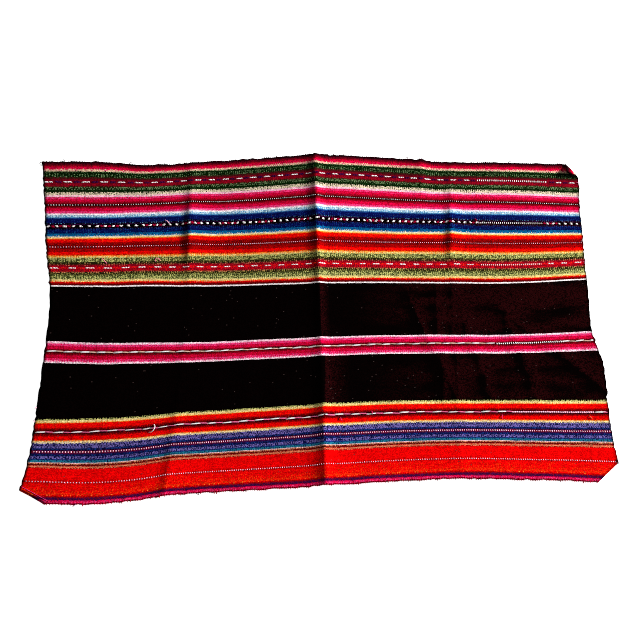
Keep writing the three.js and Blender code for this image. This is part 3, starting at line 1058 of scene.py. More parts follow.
    def add_maps(
        self, panel: bpy.types.Object, along: np.ndarray, from_far: np.ndarray, top_faces: int
    ) -> None:
        """Give the sheet its weave map, in wefts and millimetres, and its map for baking.

        Args:
            panel: The sheet.
            along: Places of one side's vertices along the flat cloth.
            from_far: Places of one side's vertices across it.
            top_faces: Number of faces on each side.
        """
        vertex = corner_vertices(panel)
        weave = np.stack([np.tile(self.gauge.count(along), 2), np.tile(from_far, 2)], axis=1)
        add_map(panel, "weave", weave[vertex])
        right = np.tile(along / self.cloth.length + 0.5, 2)
        far = np.tile(1.0 - from_far / self.cloth.width, 2)
        share = np.stack([right, far], axis=1)[vertex]
        starts = np.empty(len(panel.data.polygons), np.int32)
        panel.data.polygons.foreach_get("loop_start", starts)
        first_under, first_wall = starts[top_faces], starts[2 * top_faces]
        corner = np.arange(vertex.size)
        outward = (corner >= first_wall) & (vertex < along.size)
        share[outward] = 0.5 + (share[outward] - 0.5) * self.wall_spread
        baked = self.placed(share, self.top_map)
        under = (corner >= first_under) & (corner < first_wall)
        baked[under] = self.placed(share[under], self.under_map)
        add_map(panel, "OFBake", baked)

    def placed(self, share: np.ndarray, window: tuple[float, float, float, float]) -> np.ndarray:
        """Shares of the cloth's length and width, moved into a window of the baked map."""
        low, high = np.array(window[:2]), np.array(window[2:])
        return low + share * (high - low)


class Yarns:
    """Yarn tubes gathered as arrays and joined into one mesh."""

    def __init__(self, sides: int = 6) -> None:
        """Start with no yarn.

        Args:
            sides: Sides of each tube.
        """
        self.sides = sides
        self.points: list[np.ndarray] = []
        self.faces: list[tuple[int, ...]] = []
        self.colours: list[np.ndarray] = []
        self.maps: list[np.ndarray] = []
        self.count = 0

    def add(self, rings: np.ndarray, dyes: np.ndarray, run: np.ndarray) -> None:
        """Add tubes that all have the same number of rings.

        Args:
            rings: Points by tube, ring, side and axis, in metres.
            dyes: Red, green and blue by tube.
            run: Millimetres along the yarn by tube and ring.
        """
        tubes, stations, sides, _ = rings.shape
        turn = np.arange(sides)
        for tube in range(tubes):
            base = self.count + tube * stations * sides
            for station in range(stations - 1):
                ring = base + station * sides
                self.faces += [
                    (ring + k, ring + (k + 1) % sides, ring + sides + (k + 1) % sides, ring + sides + k)
                    for k in range(sides)
                ]
            self.faces.append(tuple(int(v) for v in base + turn[::-1]))
            self.faces.append(tuple(int(v) for v in base + (stations - 1) * sides + turn))
        self.points.append(rings.reshape(-1, 3))
        self.colours.append(np.repeat(dyes, stations * sides, axis=0))
        around = np.broadcast_to(turn / sides, (tubes, stations, sides))
        lengths = np.broadcast_to(run[:, :, None], around.shape)
        self.maps.append(np.stack([lengths, around], axis=3).reshape(-1, 2))
        self.count += tubes * stations * sides

    def build(self, name: str, finish: bpy.types.Material) -> bpy.types.Object:
        """Join the yarns into one piece.

        Args:
            name: Name of the piece.
            finish: Material of the yarn.

        Returns:
            The new piece.
        """
        piece = new_piece(name, np.concatenate(self.points), self.faces, finish)
        colours = np.concatenate(self.colours)
        layer = piece.data.color_attributes.new("dye", "FLOAT_COLOR", "POINT")
        opaque = np.column_stack([colours, np.ones(len(colours))]).astype(np.float32)
        layer.data.foreach_set("color", opaque.ravel())
        add_map(piece, "strand", np.concatenate(self.maps)[corner_vertices(piece)])
        return piece


class Float(NamedTuple):
    """One warp yarn lying over wefts: its weft counts, place across, dye, half width, slant and shade."""

    start: float
    end: float
    from_far: float
    dye: Dye
    half_width: float
    slant: float = 0.0
    shade: float = 1.0


class Mark(NamedTuple):
    """One mark of a row's repeat: its start and length in wefts, dye, yarns, height, lean and slant."""

    start: float
    wefts: float
    dye: Dye
    yarns: int
    height: float
    lean: float = 0.0
    slant: float = 0.0


class DotRow(NamedTuple):
    """Dots on every second weft: their row, dye, height, length in wefts and dimmest shade."""

    row: Row
    dye: Dye
    height: float
    wefts: float
    dimmest: float = 0.35


class FigureRow(NamedTuple):
    """One figured row: its repeat in wefts, its marks, the dots in their stead and where, and its sway."""

    repeat: float
    marks: tuple[Mark, ...]
    dots: DotRow
    dots_from: float
    dots_to: float
    sway: float = 0.0


CHECK_WEFTS = 6.0
CHECK_SPOTS = 6
CHECK_MARKS = tuple(
    mark
    for spot in range(CHECK_SPOTS)
    for mark in (
        Mark(CHECK_WEFTS * spot, 3.7, Dye.WHITE, 2, 4.0, lean=0.5),
        Mark(CHECK_WEFTS * spot + 2.9, 4.0, Dye.BERRY if spot < CHECK_SPOTS // 2 else Dye.SOOT, 3, 4.2),
    )
)

FIGURE_ROWS = (
    FigureRow(
        13.5,
        (Mark(0.0, 7.2, Dye.WHITE, 2, 2.4), Mark(7.4, 5.8, Dye.PLUM, 3, 3.6)),
        DotRow(Row.FAR_DASHES, Dye.WHITE, 4.2, wefts=0.9, dimmest=0.6),
        dots_from=335.0,
        dots_to=484.0,
    ),
    FigureRow(
        CHECK_WEFTS * CHECK_SPOTS,
        CHECK_MARKS,
        DotRow(Row.CHECKS, Dye.WHITE, 4.2, wefts=0.9, dimmest=0.6),
        dots_from=335.0,
        dots_to=472.0,
    ),
    FigureRow(
        13.5,
        (Mark(0.0, 7.4, Dye.WHITE, 2, 2.3), Mark(8.6, 3.4, Dye.FLAME, 1, 1.2)),
        DotRow(Row.RUBY_DASHES, Dye.WHITE, 3.8, wefts=0.9, dimmest=0.6),
        dots_from=335.0,
        dots_to=463.0,
    ),
    FigureRow(
        14.4,
        (Mark(0.0, 10.8, Dye.WHITE, 2, 2.4, slant=1.1), Mark(7.0, 9.8, Dye.ASH, 2, 2.2, slant=-0.9)),
        DotRow(Row.PINK_CORD, Dye.WHITE, 3.6, wefts=1.2, dimmest=0.75),
        dots_from=352.0,
        dots_to=490.0,
        sway=0.8,
    ),
    FigureRow(
        15.0,
        (Mark(0.0, 11.6, Dye.WHITE, 2, 2.4, slant=1.0), Mark(7.2, 10.6, Dye.ROSE, 2, 2.2, slant=-1.0)),
        DotRow(Row.RED_CORD, Dye.BLUSH, 3.2, wefts=2.1, dimmest=0.85),
        dots_from=366.0,
        dots_to=526.0,
        sway=0.8,
    ),
)

CORD_SLACK = 0.14

DOT_ROWS = (
    DotRow(Row.PINK_DOTS, Dye.WHITE, 2.4, wefts=0.8),
    DotRow(Row.RED_DOTS, Dye.BLUSH, 2.5, wefts=0.85),
    DotRow(Row.VIOLET_DOTS, Dye.BLUSH, 3.2, wefts=1.1, dimmest=0.6),
    DotRow(Row.SCARLET_DOTS, Dye.BLUSH, 2.6, wefts=0.95, dimmest=0.45),
)


@dataclass
class FigureYarns:
    """The raised yarns of the patterned rows, laid over the sheet."""

    cloth: LaidCloth
    chart: StripeChart
    gauge: WeftGauge
    finish: bpy.types.Material
    half_height: float = 0.5
    dip: float = 0.35
    rise: float = 0.3
    shortest_float: float = 1.7
    longest_float: float = 3.4
    least_rest: float = 0.6
    raggedness: float = 1.1
    row_drift: float = 0.15
    stray: float = 0.12
    gaps: tuple[float, float] = (-0.1, 0.12)
    yarn_widths: tuple[float, float] = (0.5, 0.64)
    slants: tuple[float, float] = (0.5, 1.4)
    shades: tuple[float, float] = (0.85, 1.2)
    dot_heights: tuple[float, float] = (0.8, 1.1)
    brightest_dot: float = 1.2
    sway_turn: float = 2.6
    cord_tip: float = 0.3
    float_tip: float = 0.45
    least_lift: float = 0.4
    stretch: int = 14
    stretch_shades: tuple[float, float] = (0.75, 1.25)
    end_margin: float = 1.5
    stations: tuple[float, ...] = (0.0, 0.08, 0.25, 0.5, 0.75, 0.92, 1.0)
    draw: np.random.Generator = field(default_factory=lambda: np.random.default_rng(23))

    def bundle(self, mark: Mark, start: float, middle: float) -> list[Float]:
        """The yarns of one mark side by side, each dipping under a weft now and then.

        Args:
            mark: The mark to lay.
            start: Weft count at which its repeat starts.
            middle: Middle of the row, from the far edge.

        Returns:
            The mark's floats.
        """
        step = mark.height / mark.yarns
        drift = self.draw.normal(0.0, self.row_drift)
        lean = mark.lean * self.draw.choice((-1.0, 1.0))
        floats = []
        for yarn in range(mark.yarns):
            place = yarn - (mark.yarns - 1) / 2.0
            weft = start + mark.start + lean * place
            last = weft + mark.wefts - self.draw.uniform(0.0, self.raggedness)
            weft += self.draw.uniform(0.0, self.raggedness)
            while weft < last - self.least_rest:
                reach = min(self.draw.uniform(self.shortest_float, self.longest_float), last - weft)
                reach = last - weft if mark.slant else reach
                from_far = middle + drift + place * step + self.draw.normal(0.0, self.stray)
                half_width = step * self.draw.uniform(*self.yarn_widths)
                slant = mark.slant * self.draw.uniform(*self.slants)
                shade = self.draw.uniform(*self.shades)
                floats.append(Float(weft, weft + reach, from_far, mark.dye, half_width, slant, shade))
                weft += reach + self.draw.uniform(*self.gaps)
        return floats

    def dots(self, row: DotRow, low: float, high: float) -> list[Float]:
        """A run of dots, one on every second weft, between two weft counts.

        Args:
            row: The row that they lie in, with their dye and size.
            low: Weft count at which the run starts.
            high: Weft count at which it ends.

        Returns:
            A float for each dot.
        """
        floats = []
        for start in np.arange(math.ceil(low / 2.0) * 2.0, high - row.wefts, 2.0):
            from_far = self.chart.middle(row.row) + self.draw.normal(0.0, self.stray)
            half_width = row.height / 2.0 * self.draw.uniform(*self.dot_heights)
            shade = self.draw.uniform(row.dimmest, self.brightest_dot)
            floats.append(Float(start, start + row.wefts, from_far, row.dye, half_width, shade=shade))
        return floats

    def row_floats(self, figure: FigureRow) -> list[Float]:
        """All floats of one figured row, with plain dots in the stretch that has no figures.

        Args:
            figure: The figured row.

        Returns:
            Its floats.
        """
        half = self.cloth.length / 2.0 - self.end_margin
        ends = np.array([-half, half, figure.dots_from, min(figure.dots_to, half)])
        first, last, low, high = self.gauge.count(ends)
        middle = self.chart.middle(figure.dots.row)
        floats = self.dots(figure.dots, low, high)
        for start in np.arange(first, last, figure.repeat):
            for mark in figure.marks:
                begins = start + mark.start
                room = last - begins
                dotted = low < begins + mark.wefts / 2.0 < high
                if room > self.longest_float and not dotted:
                    swing = figure.sway * math.sin(self.sway_turn * begins)
                    fitted = mark._replace(wefts=min(mark.wefts, room))
                    floats += self.bundle(fitted, start, middle + swing)
        return floats

    def column(self, floats: list[Float], name: str) -> np.ndarray:
        """One named value of all floats, as a column."""
        return np.array([getattr(single, name) for single in floats])[:, None]

    def rings(self, floats: list[Float], sides: int) -> tuple[np.ndarray, np.ndarray]:
        """Rings of points around floats, blunt at both ends, where they dip into the cloth.

        Args:
            floats: The floats to shape.
            sides: Points in each ring.

        Returns:
            Points by float, ring, side and axis, and millimetres along the yarn by float and ring.
        """
        share = np.array(self.stations)[None, :]
        start = self.gauge.along(self.column(floats, "start"))
        along = start + (self.gauge.along(self.column(floats, "end")) - start) * share
        slant = self.column(floats, "slant")
        arch = np.sqrt(1.0 - (2.0 * share - 1.0) ** 2)
        cord = self.cord_tip + (1.0 - self.cord_tip) * arch**2
        swell = np.where(slant != 0.0, cord, self.float_tip + (1.0 - self.float_tip) * arch)
        half_width = self.column(floats, "half_width") * swell
        base = self.cloth.thickness - self.dip + (self.dip + self.rise) * arch
        angle = 2.0 * math.pi * np.arange(sides) / sides
        shape = (len(floats), len(self.stations), sides)
        middle = self.column(floats, "from_far") + slant * (0.5 - share)
        from_far = middle[:, :, None] - half_width[:, :, None] * np.cos(angle)
        lift = base[:, :, None] + self.half_height * swell[:, :, None] * np.sin(angle)
        lift = np.maximum(np.broadcast_to(lift, shape), self.least_lift)
        places = np.broadcast_to(along[:, :, None], shape)
        points = self.cloth.lay(places.ravel(), from_far.ravel(), lift.ravel())
        return points.reshape(*shape, 3), along - start

    def dyes(self, floats: list[Float]) -> np.ndarray:
        """Dye of each float, lighter or darker from one to the next and from one stretch to another.

        Args:
            floats: The floats to dye.

        Returns:
            Red, green and blue by float.
        """
        plain = np.array([single.dye.linear()[:3] for single in floats])
        stretches = self.draw.uniform(*self.stretch_shades, len(floats) // self.stretch + 2)
        slow = np.interp(np.arange(len(floats)) / self.stretch, np.arange(stretches.size), stretches)
        return np.clip(plain * (slow[:, None] * self.column(floats, "shade")), 0.0, 1.0)

    def build(self, name: str, floats: list[Float]) -> bpy.types.Object:
        """Join floats into one piece.

        Args:
            name: Name of the piece.
            floats: The floats to join.

        Returns:
            The new piece.
        """
        yarns = Yarns()
        points, run = self.rings(floats, yarns.sides)
        yarns.add(points, self.dyes(floats), run)
        return yarns.build(name, self.finish)

    def build_figures(self, figure: FigureRow) -> bpy.types.Object:
        """Make one figured row as a piece."""
        return self.build(figure.dots.row.value, self.row_floats(figure))

    def build_dots(self, row: DotRow) -> bpy.types.Object:
        """Make one row that is dotted from end to end as a piece.

        Args:
            row: The dotted row.

        Returns:
            The new piece.
        """
        half = self.cloth.length / 2.0 - self.end_margin
        low, high = self.gauge.count(np.array([-half, half]))
        return self.build(row.row.value, self.dots(row, low, high))


class YarnEnd(NamedTuple):
    """One loose end: its dye, where it leaves the cloth, its heading, length, curl, height and radius."""

    dye: Dye
    along: float
    from_far: float
    heading: float
    length: float
    curl: float
    rise: float
    radius: float


YARN_ENDS = (
    YarnEnd(Dye.ROSE, -438, 219, heading=-62, length=16, curl=20, rise=3.0, radius=0.8),
    YarnEnd(Dye.ROSE, -330, 229, heading=100, length=17, curl=-200, rise=3.0, radius=0.8),
    YarnEnd(Dye.BLUSH, -300, 140, heading=130, length=11, curl=20, rise=2.5, radius=0.9),
    YarnEnd(Dye.WHITE, -317, 555, heading=-45, length=24, curl=-165, rise=4.0, radius=1.0),
    YarnEnd(Dye.HOT_PINK, 42, 566, heading=-70, length=8, curl=20, rise=2.5, radius=0.7),
    YarnEnd(Dye.HOT_PINK, 104, 562, heading=100, length=7, curl=40, rise=2.5, radius=0.7),
    YarnEnd(Dye.HOT_PINK, 348, 567, heading=-80, length=9, curl=-30, rise=2.5, radius=0.7),
    YarnEnd(Dye.TAN, 512, 568, heading=-60, length=8, curl=30, rise=2.0, radius=0.6),
    YarnEnd(Dye.CRIMSON, 330, 141, heading=70, length=8, curl=80, rise=3.0, radius=0.9),
    YarnEnd(Dye.HOT_PINK, -547, 670, heading=-24, length=66, curl=0, rise=0.0, radius=0.6),
    YarnEnd(Dye.RIM, -505, 1, heading=80, length=8, curl=150, rise=1.5, radius=0.7),
    YarnEnd(Dye.RIM, -375, 1, heading=100, length=7, curl=-140, rise=1.5, radius=0.7),
    YarnEnd(Dye.MAROON, 190, 1, heading=70, length=7, curl=150, rise=1.5, radius=0.7),
    YarnEnd(Dye.RIM, 402, 1, heading=110, length=9, curl=-150, rise=1.5, radius=0.7),
    YarnEnd(Dye.RIM, -546, 4, heading=150, length=9, curl=60, rise=1.0, radius=0.7),
    YarnEnd(Dye.RIM, -547, 9, heading=185, length=7, curl=-50, rise=1.0, radius=0.7),
    YarnEnd(Dye.PLUM, -440, 698, heading=-70, length=8, curl=-150, rise=1.5, radius=0.7),
    YarnEnd(Dye.RIM, -220, 699, heading=-100, length=7, curl=150, rise=1.5, radius=0.7),
    YarnEnd(Dye.BLUSH, -549, 515, heading=180, length=5, curl=90, rise=1.0, radius=0.7),
    YarnEnd(Dye.BLUSH, -549, 541, heading=170, length=5, curl=-90, rise=1.0, radius=0.7),
    YarnEnd(Dye.ROSE, 544, 42, heading=10, length=11, curl=-60, rise=1.2, radius=0.6),
    YarnEnd(Dye.BLUSH, 545, 188, heading=-5, length=10, curl=50, rise=1.2, radius=0.6),
    YarnEnd(Dye.ROSE, 545, 241, heading=20, length=11, curl=-70, rise=1.2, radius=0.6),
    YarnEnd(Dye.RIM, 547, 655, heading=-30, length=7, curl=-80, rise=1.0, radius=0.7),
)


@dataclass
class LooseEnds:
    """Two-ply yarn ends that have worked loose, lying on the cloth and its edges."""

    cloth: LaidCloth
    finish: bpy.types.Material
    stations: int = 18
    twist: float = 3.4
    plies: int = 2
    seat: float = 0.6
    crest_pull: float = 0.8
    drop_reach: float = 5.0
    ply_share: float = 0.62
    wind_share: float = 0.5
    tip: float = 0.12

    def path(self, end: YarnEnd) -> np.ndarray:
        """Lay the middle of one loose end over the cloth and down past its edge.

        Args:
            end: The loose end.

        Returns:
            Points along it, in metres.
        """
        share = np.linspace(0.0, 1.0, self.stations)
        heading = np.radians(end.heading + end.curl * share)
        step = end.length / (self.stations - 1)
        along = end.along + np.concatenate([[0.0], np.cumsum(np.cos(heading[:-1]) * step)])
        from_far = end.from_far - np.concatenate([[0.0], np.cumsum(np.sin(heading[:-1]) * step)])
        arch = np.sin(math.pi * share**self.crest_pull) ** 2
        lift = self.cloth.thickness + end.radius * self.seat + end.rise * arch
        past_edge = np.maximum(-from_far, from_far - self.cloth.width)
        outside = np.maximum(past_edge, np.abs(along) - self.cloth.length / 2.0)
        lift -= (self.cloth.thickness - end.radius) * ease(0.0, self.drop_reach, outside)
        return self.cloth.lay(along, from_far, lift)

    def strands(self, end: YarnEnd, sides: int) -> list[np.ndarray]:
        """Shape the twisted plies of one loose end.

        Args:
            end: The loose end.
            sides: Points in each ring.

        Returns:
            Points by ring, side and axis for each ply, in metres.
        """
        path = self.path(end)
        tangent = np.gradient(path, axis=0)
        tangent /= np.linalg.norm(tangent, axis=1, keepdims=True)
        side = np.cross(tangent, (0.0, 0.0, 1.0))
        side /= np.linalg.norm(side, axis=1, keepdims=True)
        up = np.cross(side, tangent)
        run = np.linspace(0.0, end.length, self.stations)
        taper = np.sqrt(np.clip((end.length - run) / (2.0 * end.radius), self.tip, 1.0))
        radius = (self.ply_share * end.radius * MM * taper)[:, None, None]
        angle = 2.0 * math.pi * np.arange(sides) / sides
        sideways = np.cos(angle)[None, :, None] * side[:, None, :]
        upwards = np.sin(angle)[None, :, None] * up[:, None, :]
        strands = []
        for ply in range(self.plies):
            wind = (2.0 * math.pi * (run / self.twist + ply / self.plies))[:, None]
            offset = self.wind_share * end.radius * MM * (np.cos(wind) * side + np.sin(wind) * up)
            strands.append((path + offset)[:, None, :] + radius * (sideways + upwards))
        return strands

    def build(self) -> bpy.types.Object:
        """Make all loose ends as one piece.

        Returns:
            The new piece.
        """
        yarns = Yarns()
        for end in YARN_ENDS:
            run = np.linspace(0.0, end.length, self.stations)[None]
            dye = np.array([end.dye.linear()[:3]])
            for rings in self.strands(end, yarns.sides):
                yarns.add(rings[None], dye, run)
        return yarns.build("loose_ends", self.finish)


@dataclass
class SelvedgeTurns:
    """The turns of the weft around the outermost warp yarns of both long edges."""

    cloth: LaidCloth
    gauge: WeftGauge
    finish: bpy.types.Material
    every: float = 2.0
    stray: float = 0.14
    radius: float = 0.6
    inset: float = 2.6
    outset: float = 0.76
    size_range: tuple[float, float] = (0.8, 1.2)
    slack_share: float = 0.12
    slack_size: float = 2.0
    middle_share: float = 0.62
    half_share: float = 0.52
    least_lift: float = 0.25
    shades: tuple[float, float] = (0.6, 1.5)
    end_margin: float = 3.0
    stations: int = 7
    draw: np.random.Generator = field(default_factory=lambda: np.random.default_rng(31))

    def sizes(self) -> tuple[np.ndarray, np.ndarray]:
        """Draw where the turns of one edge lie and how large they are, a few of them slack.

        Returns:
            The weft count and the size of each turn.
        """
        half = self.cloth.length / 2.0 - self.end_margin
        first, last = self.gauge.count(np.array([-half, half]))
        counts = np.arange(first, last, self.every)
        counts = counts + self.draw.normal(0.0, self.stray, counts.size)
        size = self.draw.uniform(*self.size_range, counts.size)
        slack = self.draw.uniform(size=counts.size) < self.slack_share
        return counts, np.where(slack, size * self.slack_size, size)

    def turns(self, edge: Edge, sides: int) -> tuple[np.ndarray, np.ndarray, np.ndarray]:
        """Shape the weft turns of one edge.

        Args:
            edge: The long edge that they lie on.
            sides: Points in each ring.

        Returns:
            Points by turn, ring, side and axis, the turns' dyes, and millimetres along the yarn.
        """
        counts, size = self.sizes()
        size = size[:, None]
        bend = np.linspace(0.0, math.pi, self.stations)[None, :]
        out = -self.inset * np.cos(bend) ** 2 + self.outset * np.sin(bend) * size
        lift = self.cloth.thickness * (self.middle_share + self.half_share * np.cos(bend) * size)
        angle = 2.0 * math.pi * np.arange(sides) / sides
        shape = (*out.shape, sides)
        thick = np.broadcast_to(self.radius * np.sqrt(size), out.shape)[:, :, None]
        along = np.broadcast_to(self.gauge.along(counts)[:, None], out.shape)[:, :, None]
        along = along + edge.value * thick * np.cos(angle)
        spread = thick * np.sin(angle)
        from_edge = out[:, :, None] + spread * np.sin(bend)[:, :, None]
        height = np.maximum(lift[:, :, None] + spread * np.cos(bend)[:, :, None], self.least_lift)
        from_far = (0.0 if edge is Edge.FAR else self.cloth.width) + edge.value * from_edge
        points = self.cloth.lay(along.ravel(), from_far.ravel(), height.ravel())
        dye = np.array((Dye.RIM if edge is Edge.FAR else Dye.WINE).linear()[:3])
        dyes = dye * self.draw.uniform(*self.shades, (counts.size, 1))
        return points.reshape(*shape, 3), dyes, np.broadcast_to(bend * self.inset, out.shape)

    def build(self) -> bpy.types.Object:
        """Make the weft turns of both edges as one piece.

        Returns:
            The new piece.
        """
        yarns = Yarns(sides=5)
        for edge in Edge:
            yarns.add(*self.turns(edge, yarns.sides))
        return yarns.build("selvedge_turns", self.finish)


class Grain(Enum):
    """Layers of chance numbers over the yarn, with the number that sets each one apart."""

    DYES = 0.0
    EDGES = 1.0
    TONES = 3.0
    LINT = 4.0


class Weave(NamedTuple):
    """Place on the cloth within a material: the weft count along it and the millimetres across it."""

    wefts: Socket
    across: Socket


class NodeBoard:
    """Short ways to lay out one material's nodes."""

    def __init__(self, name: str) -> None:
        """Start a material with a shader and an output.

        Args:
            name: Name of the material.
        """
        self.material = bpy.data.materials.new(name)
        self.material.use_nodes = True
        self.nodes = self.material.node_tree.nodes
        self.links = self.material.node_tree.links
        self.shader = self.nodes["Principled BSDF"]

    def feed(self, socket: Socket, value: object) -> None:
        """Link a socket to another one, or set its own value.

        Args:
            socket: Socket to feed.
            value: Another socket, or a plain value.
        """
        if isinstance(value, Socket):
            self.links.new(value, socket)
        else:
            socket.default_value = value

    def math(self, operation: str, *values: object, clamp: bool = False) -> Socket:
        """Do one sum on numbers or sockets.

        Args:
            operation: Name of the sum.
            values: Its numbers or sockets, in order.
            clamp: Whether to keep the result between 0 and 1.

        Returns:
            The result.
        """
        node = self.nodes.new("ShaderNodeMath")
        node.operation = operation
        node.use_clamp = clamp
        for socket, value in zip(node.inputs, values):
            self.feed(socket, value)
        return node.outputs[0]

    def product(self, first: object, *others: object) -> object:
        """Multiply numbers or sockets together.

        Args:
            first: The first one.
            others: Those that it is multiplied by, in order.

        Returns:
            The product.
        """
        for other in others:
            first = self.math("MULTIPLY", first, other)
        return first

    def dress(self, values: dict[str, object]) -> None:
        """Feed the shader's sockets, each by its name."""
        for name, value in values.items():
            self.feed(self.shader.inputs[name], value)

    def scaled(self, value: object, low: float, high: float, to_low: float, to_high: float) -> Socket:
        """Move a number smoothly from one range to another.

        Args:
            value: The number.
            low: Start of its range.
            high: End of its range.
            to_low: Result at the start.
            to_high: Result at the end.

        Returns:
            The moved number.
        """
        node = self.nodes.new("ShaderNodeMapRange")
        node.interpolation_type = "SMOOTHSTEP"
        for name, given in (("From Min", low), ("From Max", high), ("To Min", to_low), ("To Max", to_high)):
            node.inputs[name].default_value = given
        self.feed(node.inputs["Value"], value)
        return node.outputs[0]

    def mix(self, blend: str, share: object, first: object, second: object) -> Socket:
        """Blend two colours.

        Args:
            blend: Name of the blend.
            share: Share of the second colour.
            first: First colour.
            second: Second colour.

        Returns:
            The blended colour.
        """
        node = self.nodes.new("ShaderNodeMix")
        node.data_type = "RGBA"
        node.blend_type = blend
        self.feed(node.inputs[0], share)
        self.feed(node.inputs[6], first)
        self.feed(node.inputs[7], second)
        return node.outputs[2]

    def place(self, *numbers: object) -> Socket:
        """Join two or three numbers into a vector.

        Args:
            numbers: Its numbers or sockets, in order.

        Returns:
            The vector.
        """
        node = self.nodes.new("ShaderNodeCombineXYZ")
        for socket, value in zip(node.inputs, numbers):
            self.feed(socket, value)
        return node.outputs[0]

    def shaded(self, colour: object, lightness: object) -> Socket:
        """A colour made lighter or darker."""
        return self.mix("MULTIPLY", 1.0, colour, self.place(lightness, lightness, lightness))

    def noise(self, vector: object, scale: float, detail: float = 2.0) -> Socket:
        """Make soft noise.

        Args:
            vector: Place to read it at.
            scale: Turns for each unit of the place.
            detail: How fine it gets.

        Returns:
            A number from 0 to 1.
        """
        node = self.nodes.new("ShaderNodeTexNoise")
        node.inputs["Scale"].default_value = scale
        node.inputs["Detail"].default_value = detail
        self.feed(node.inputs["Vector"], vector)
        return node.outputs[0]

    def speck(self, vector: object) -> Socket:
        """Make a chance number for each different place.

        Args:
            vector: The place.

        Returns:
            A number from 0 to 1.
        """
        node = self.nodes.new("ShaderNodeTexWhiteNoise")
        node.noise_dimensions = "3D"
        self.feed(node.inputs["Vector"], vector)
        return node.outputs["Value"]

    def stretched(self, weave: Weave, turns: tuple[float, float], detail: float = 2.0) -> Socket:
        """Make soft noise that is stretched along or across the cloth.

        Args:
            weave: Place on the cloth.
            turns: Its turns for each weft and for each millimetre across.
            detail: How fine it gets.

        Returns:
            A number from 0 to 1.
        """
        wefts = self.math("MULTIPLY", weave.wefts, turns[0])
        across = self.math("MULTIPLY", weave.across, turns[1])
        return self.noise(self.place(wefts, across), 1.0, detail)

    def named(self, name: str) -> Socket:
        """Read a number that the mesh carries.

        Args:
            name: Name of the number.

        Returns:
            The number.
        """
        node = self.nodes.new("ShaderNodeAttribute")
        node.attribute_name = name
        return node.outputs["Fac"]

    def uv(self, name: str) -> tuple[Socket, Socket]:
        """Read the two numbers of a map.

        Args:
            name: Name of the map.

        Returns:
            The two numbers.
        """
        node = self.nodes.new("ShaderNodeUVMap")
        node.uv_map = name
        parts = self.nodes.new("ShaderNodeSeparateXYZ")
        self.links.new(node.outputs[0], parts.inputs[0])
        return parts.outputs[0], parts.outputs[1]

    def bump(self, height: object, strength: float, distance: float) -> Socket:
        """Make a normal from a height.

        Args:
            height: The height, from 0 to 1.
            strength: How much of it to use.
            distance: Its size in metres.

        Returns:
            The normal.
        """
        node = self.nodes.new("ShaderNodeBump")
        node.inputs["Strength"].default_value = strength
        node.inputs["Distance"].default_value = distance
        self.feed(node.inputs["Height"], height)
        return node.outputs[0]


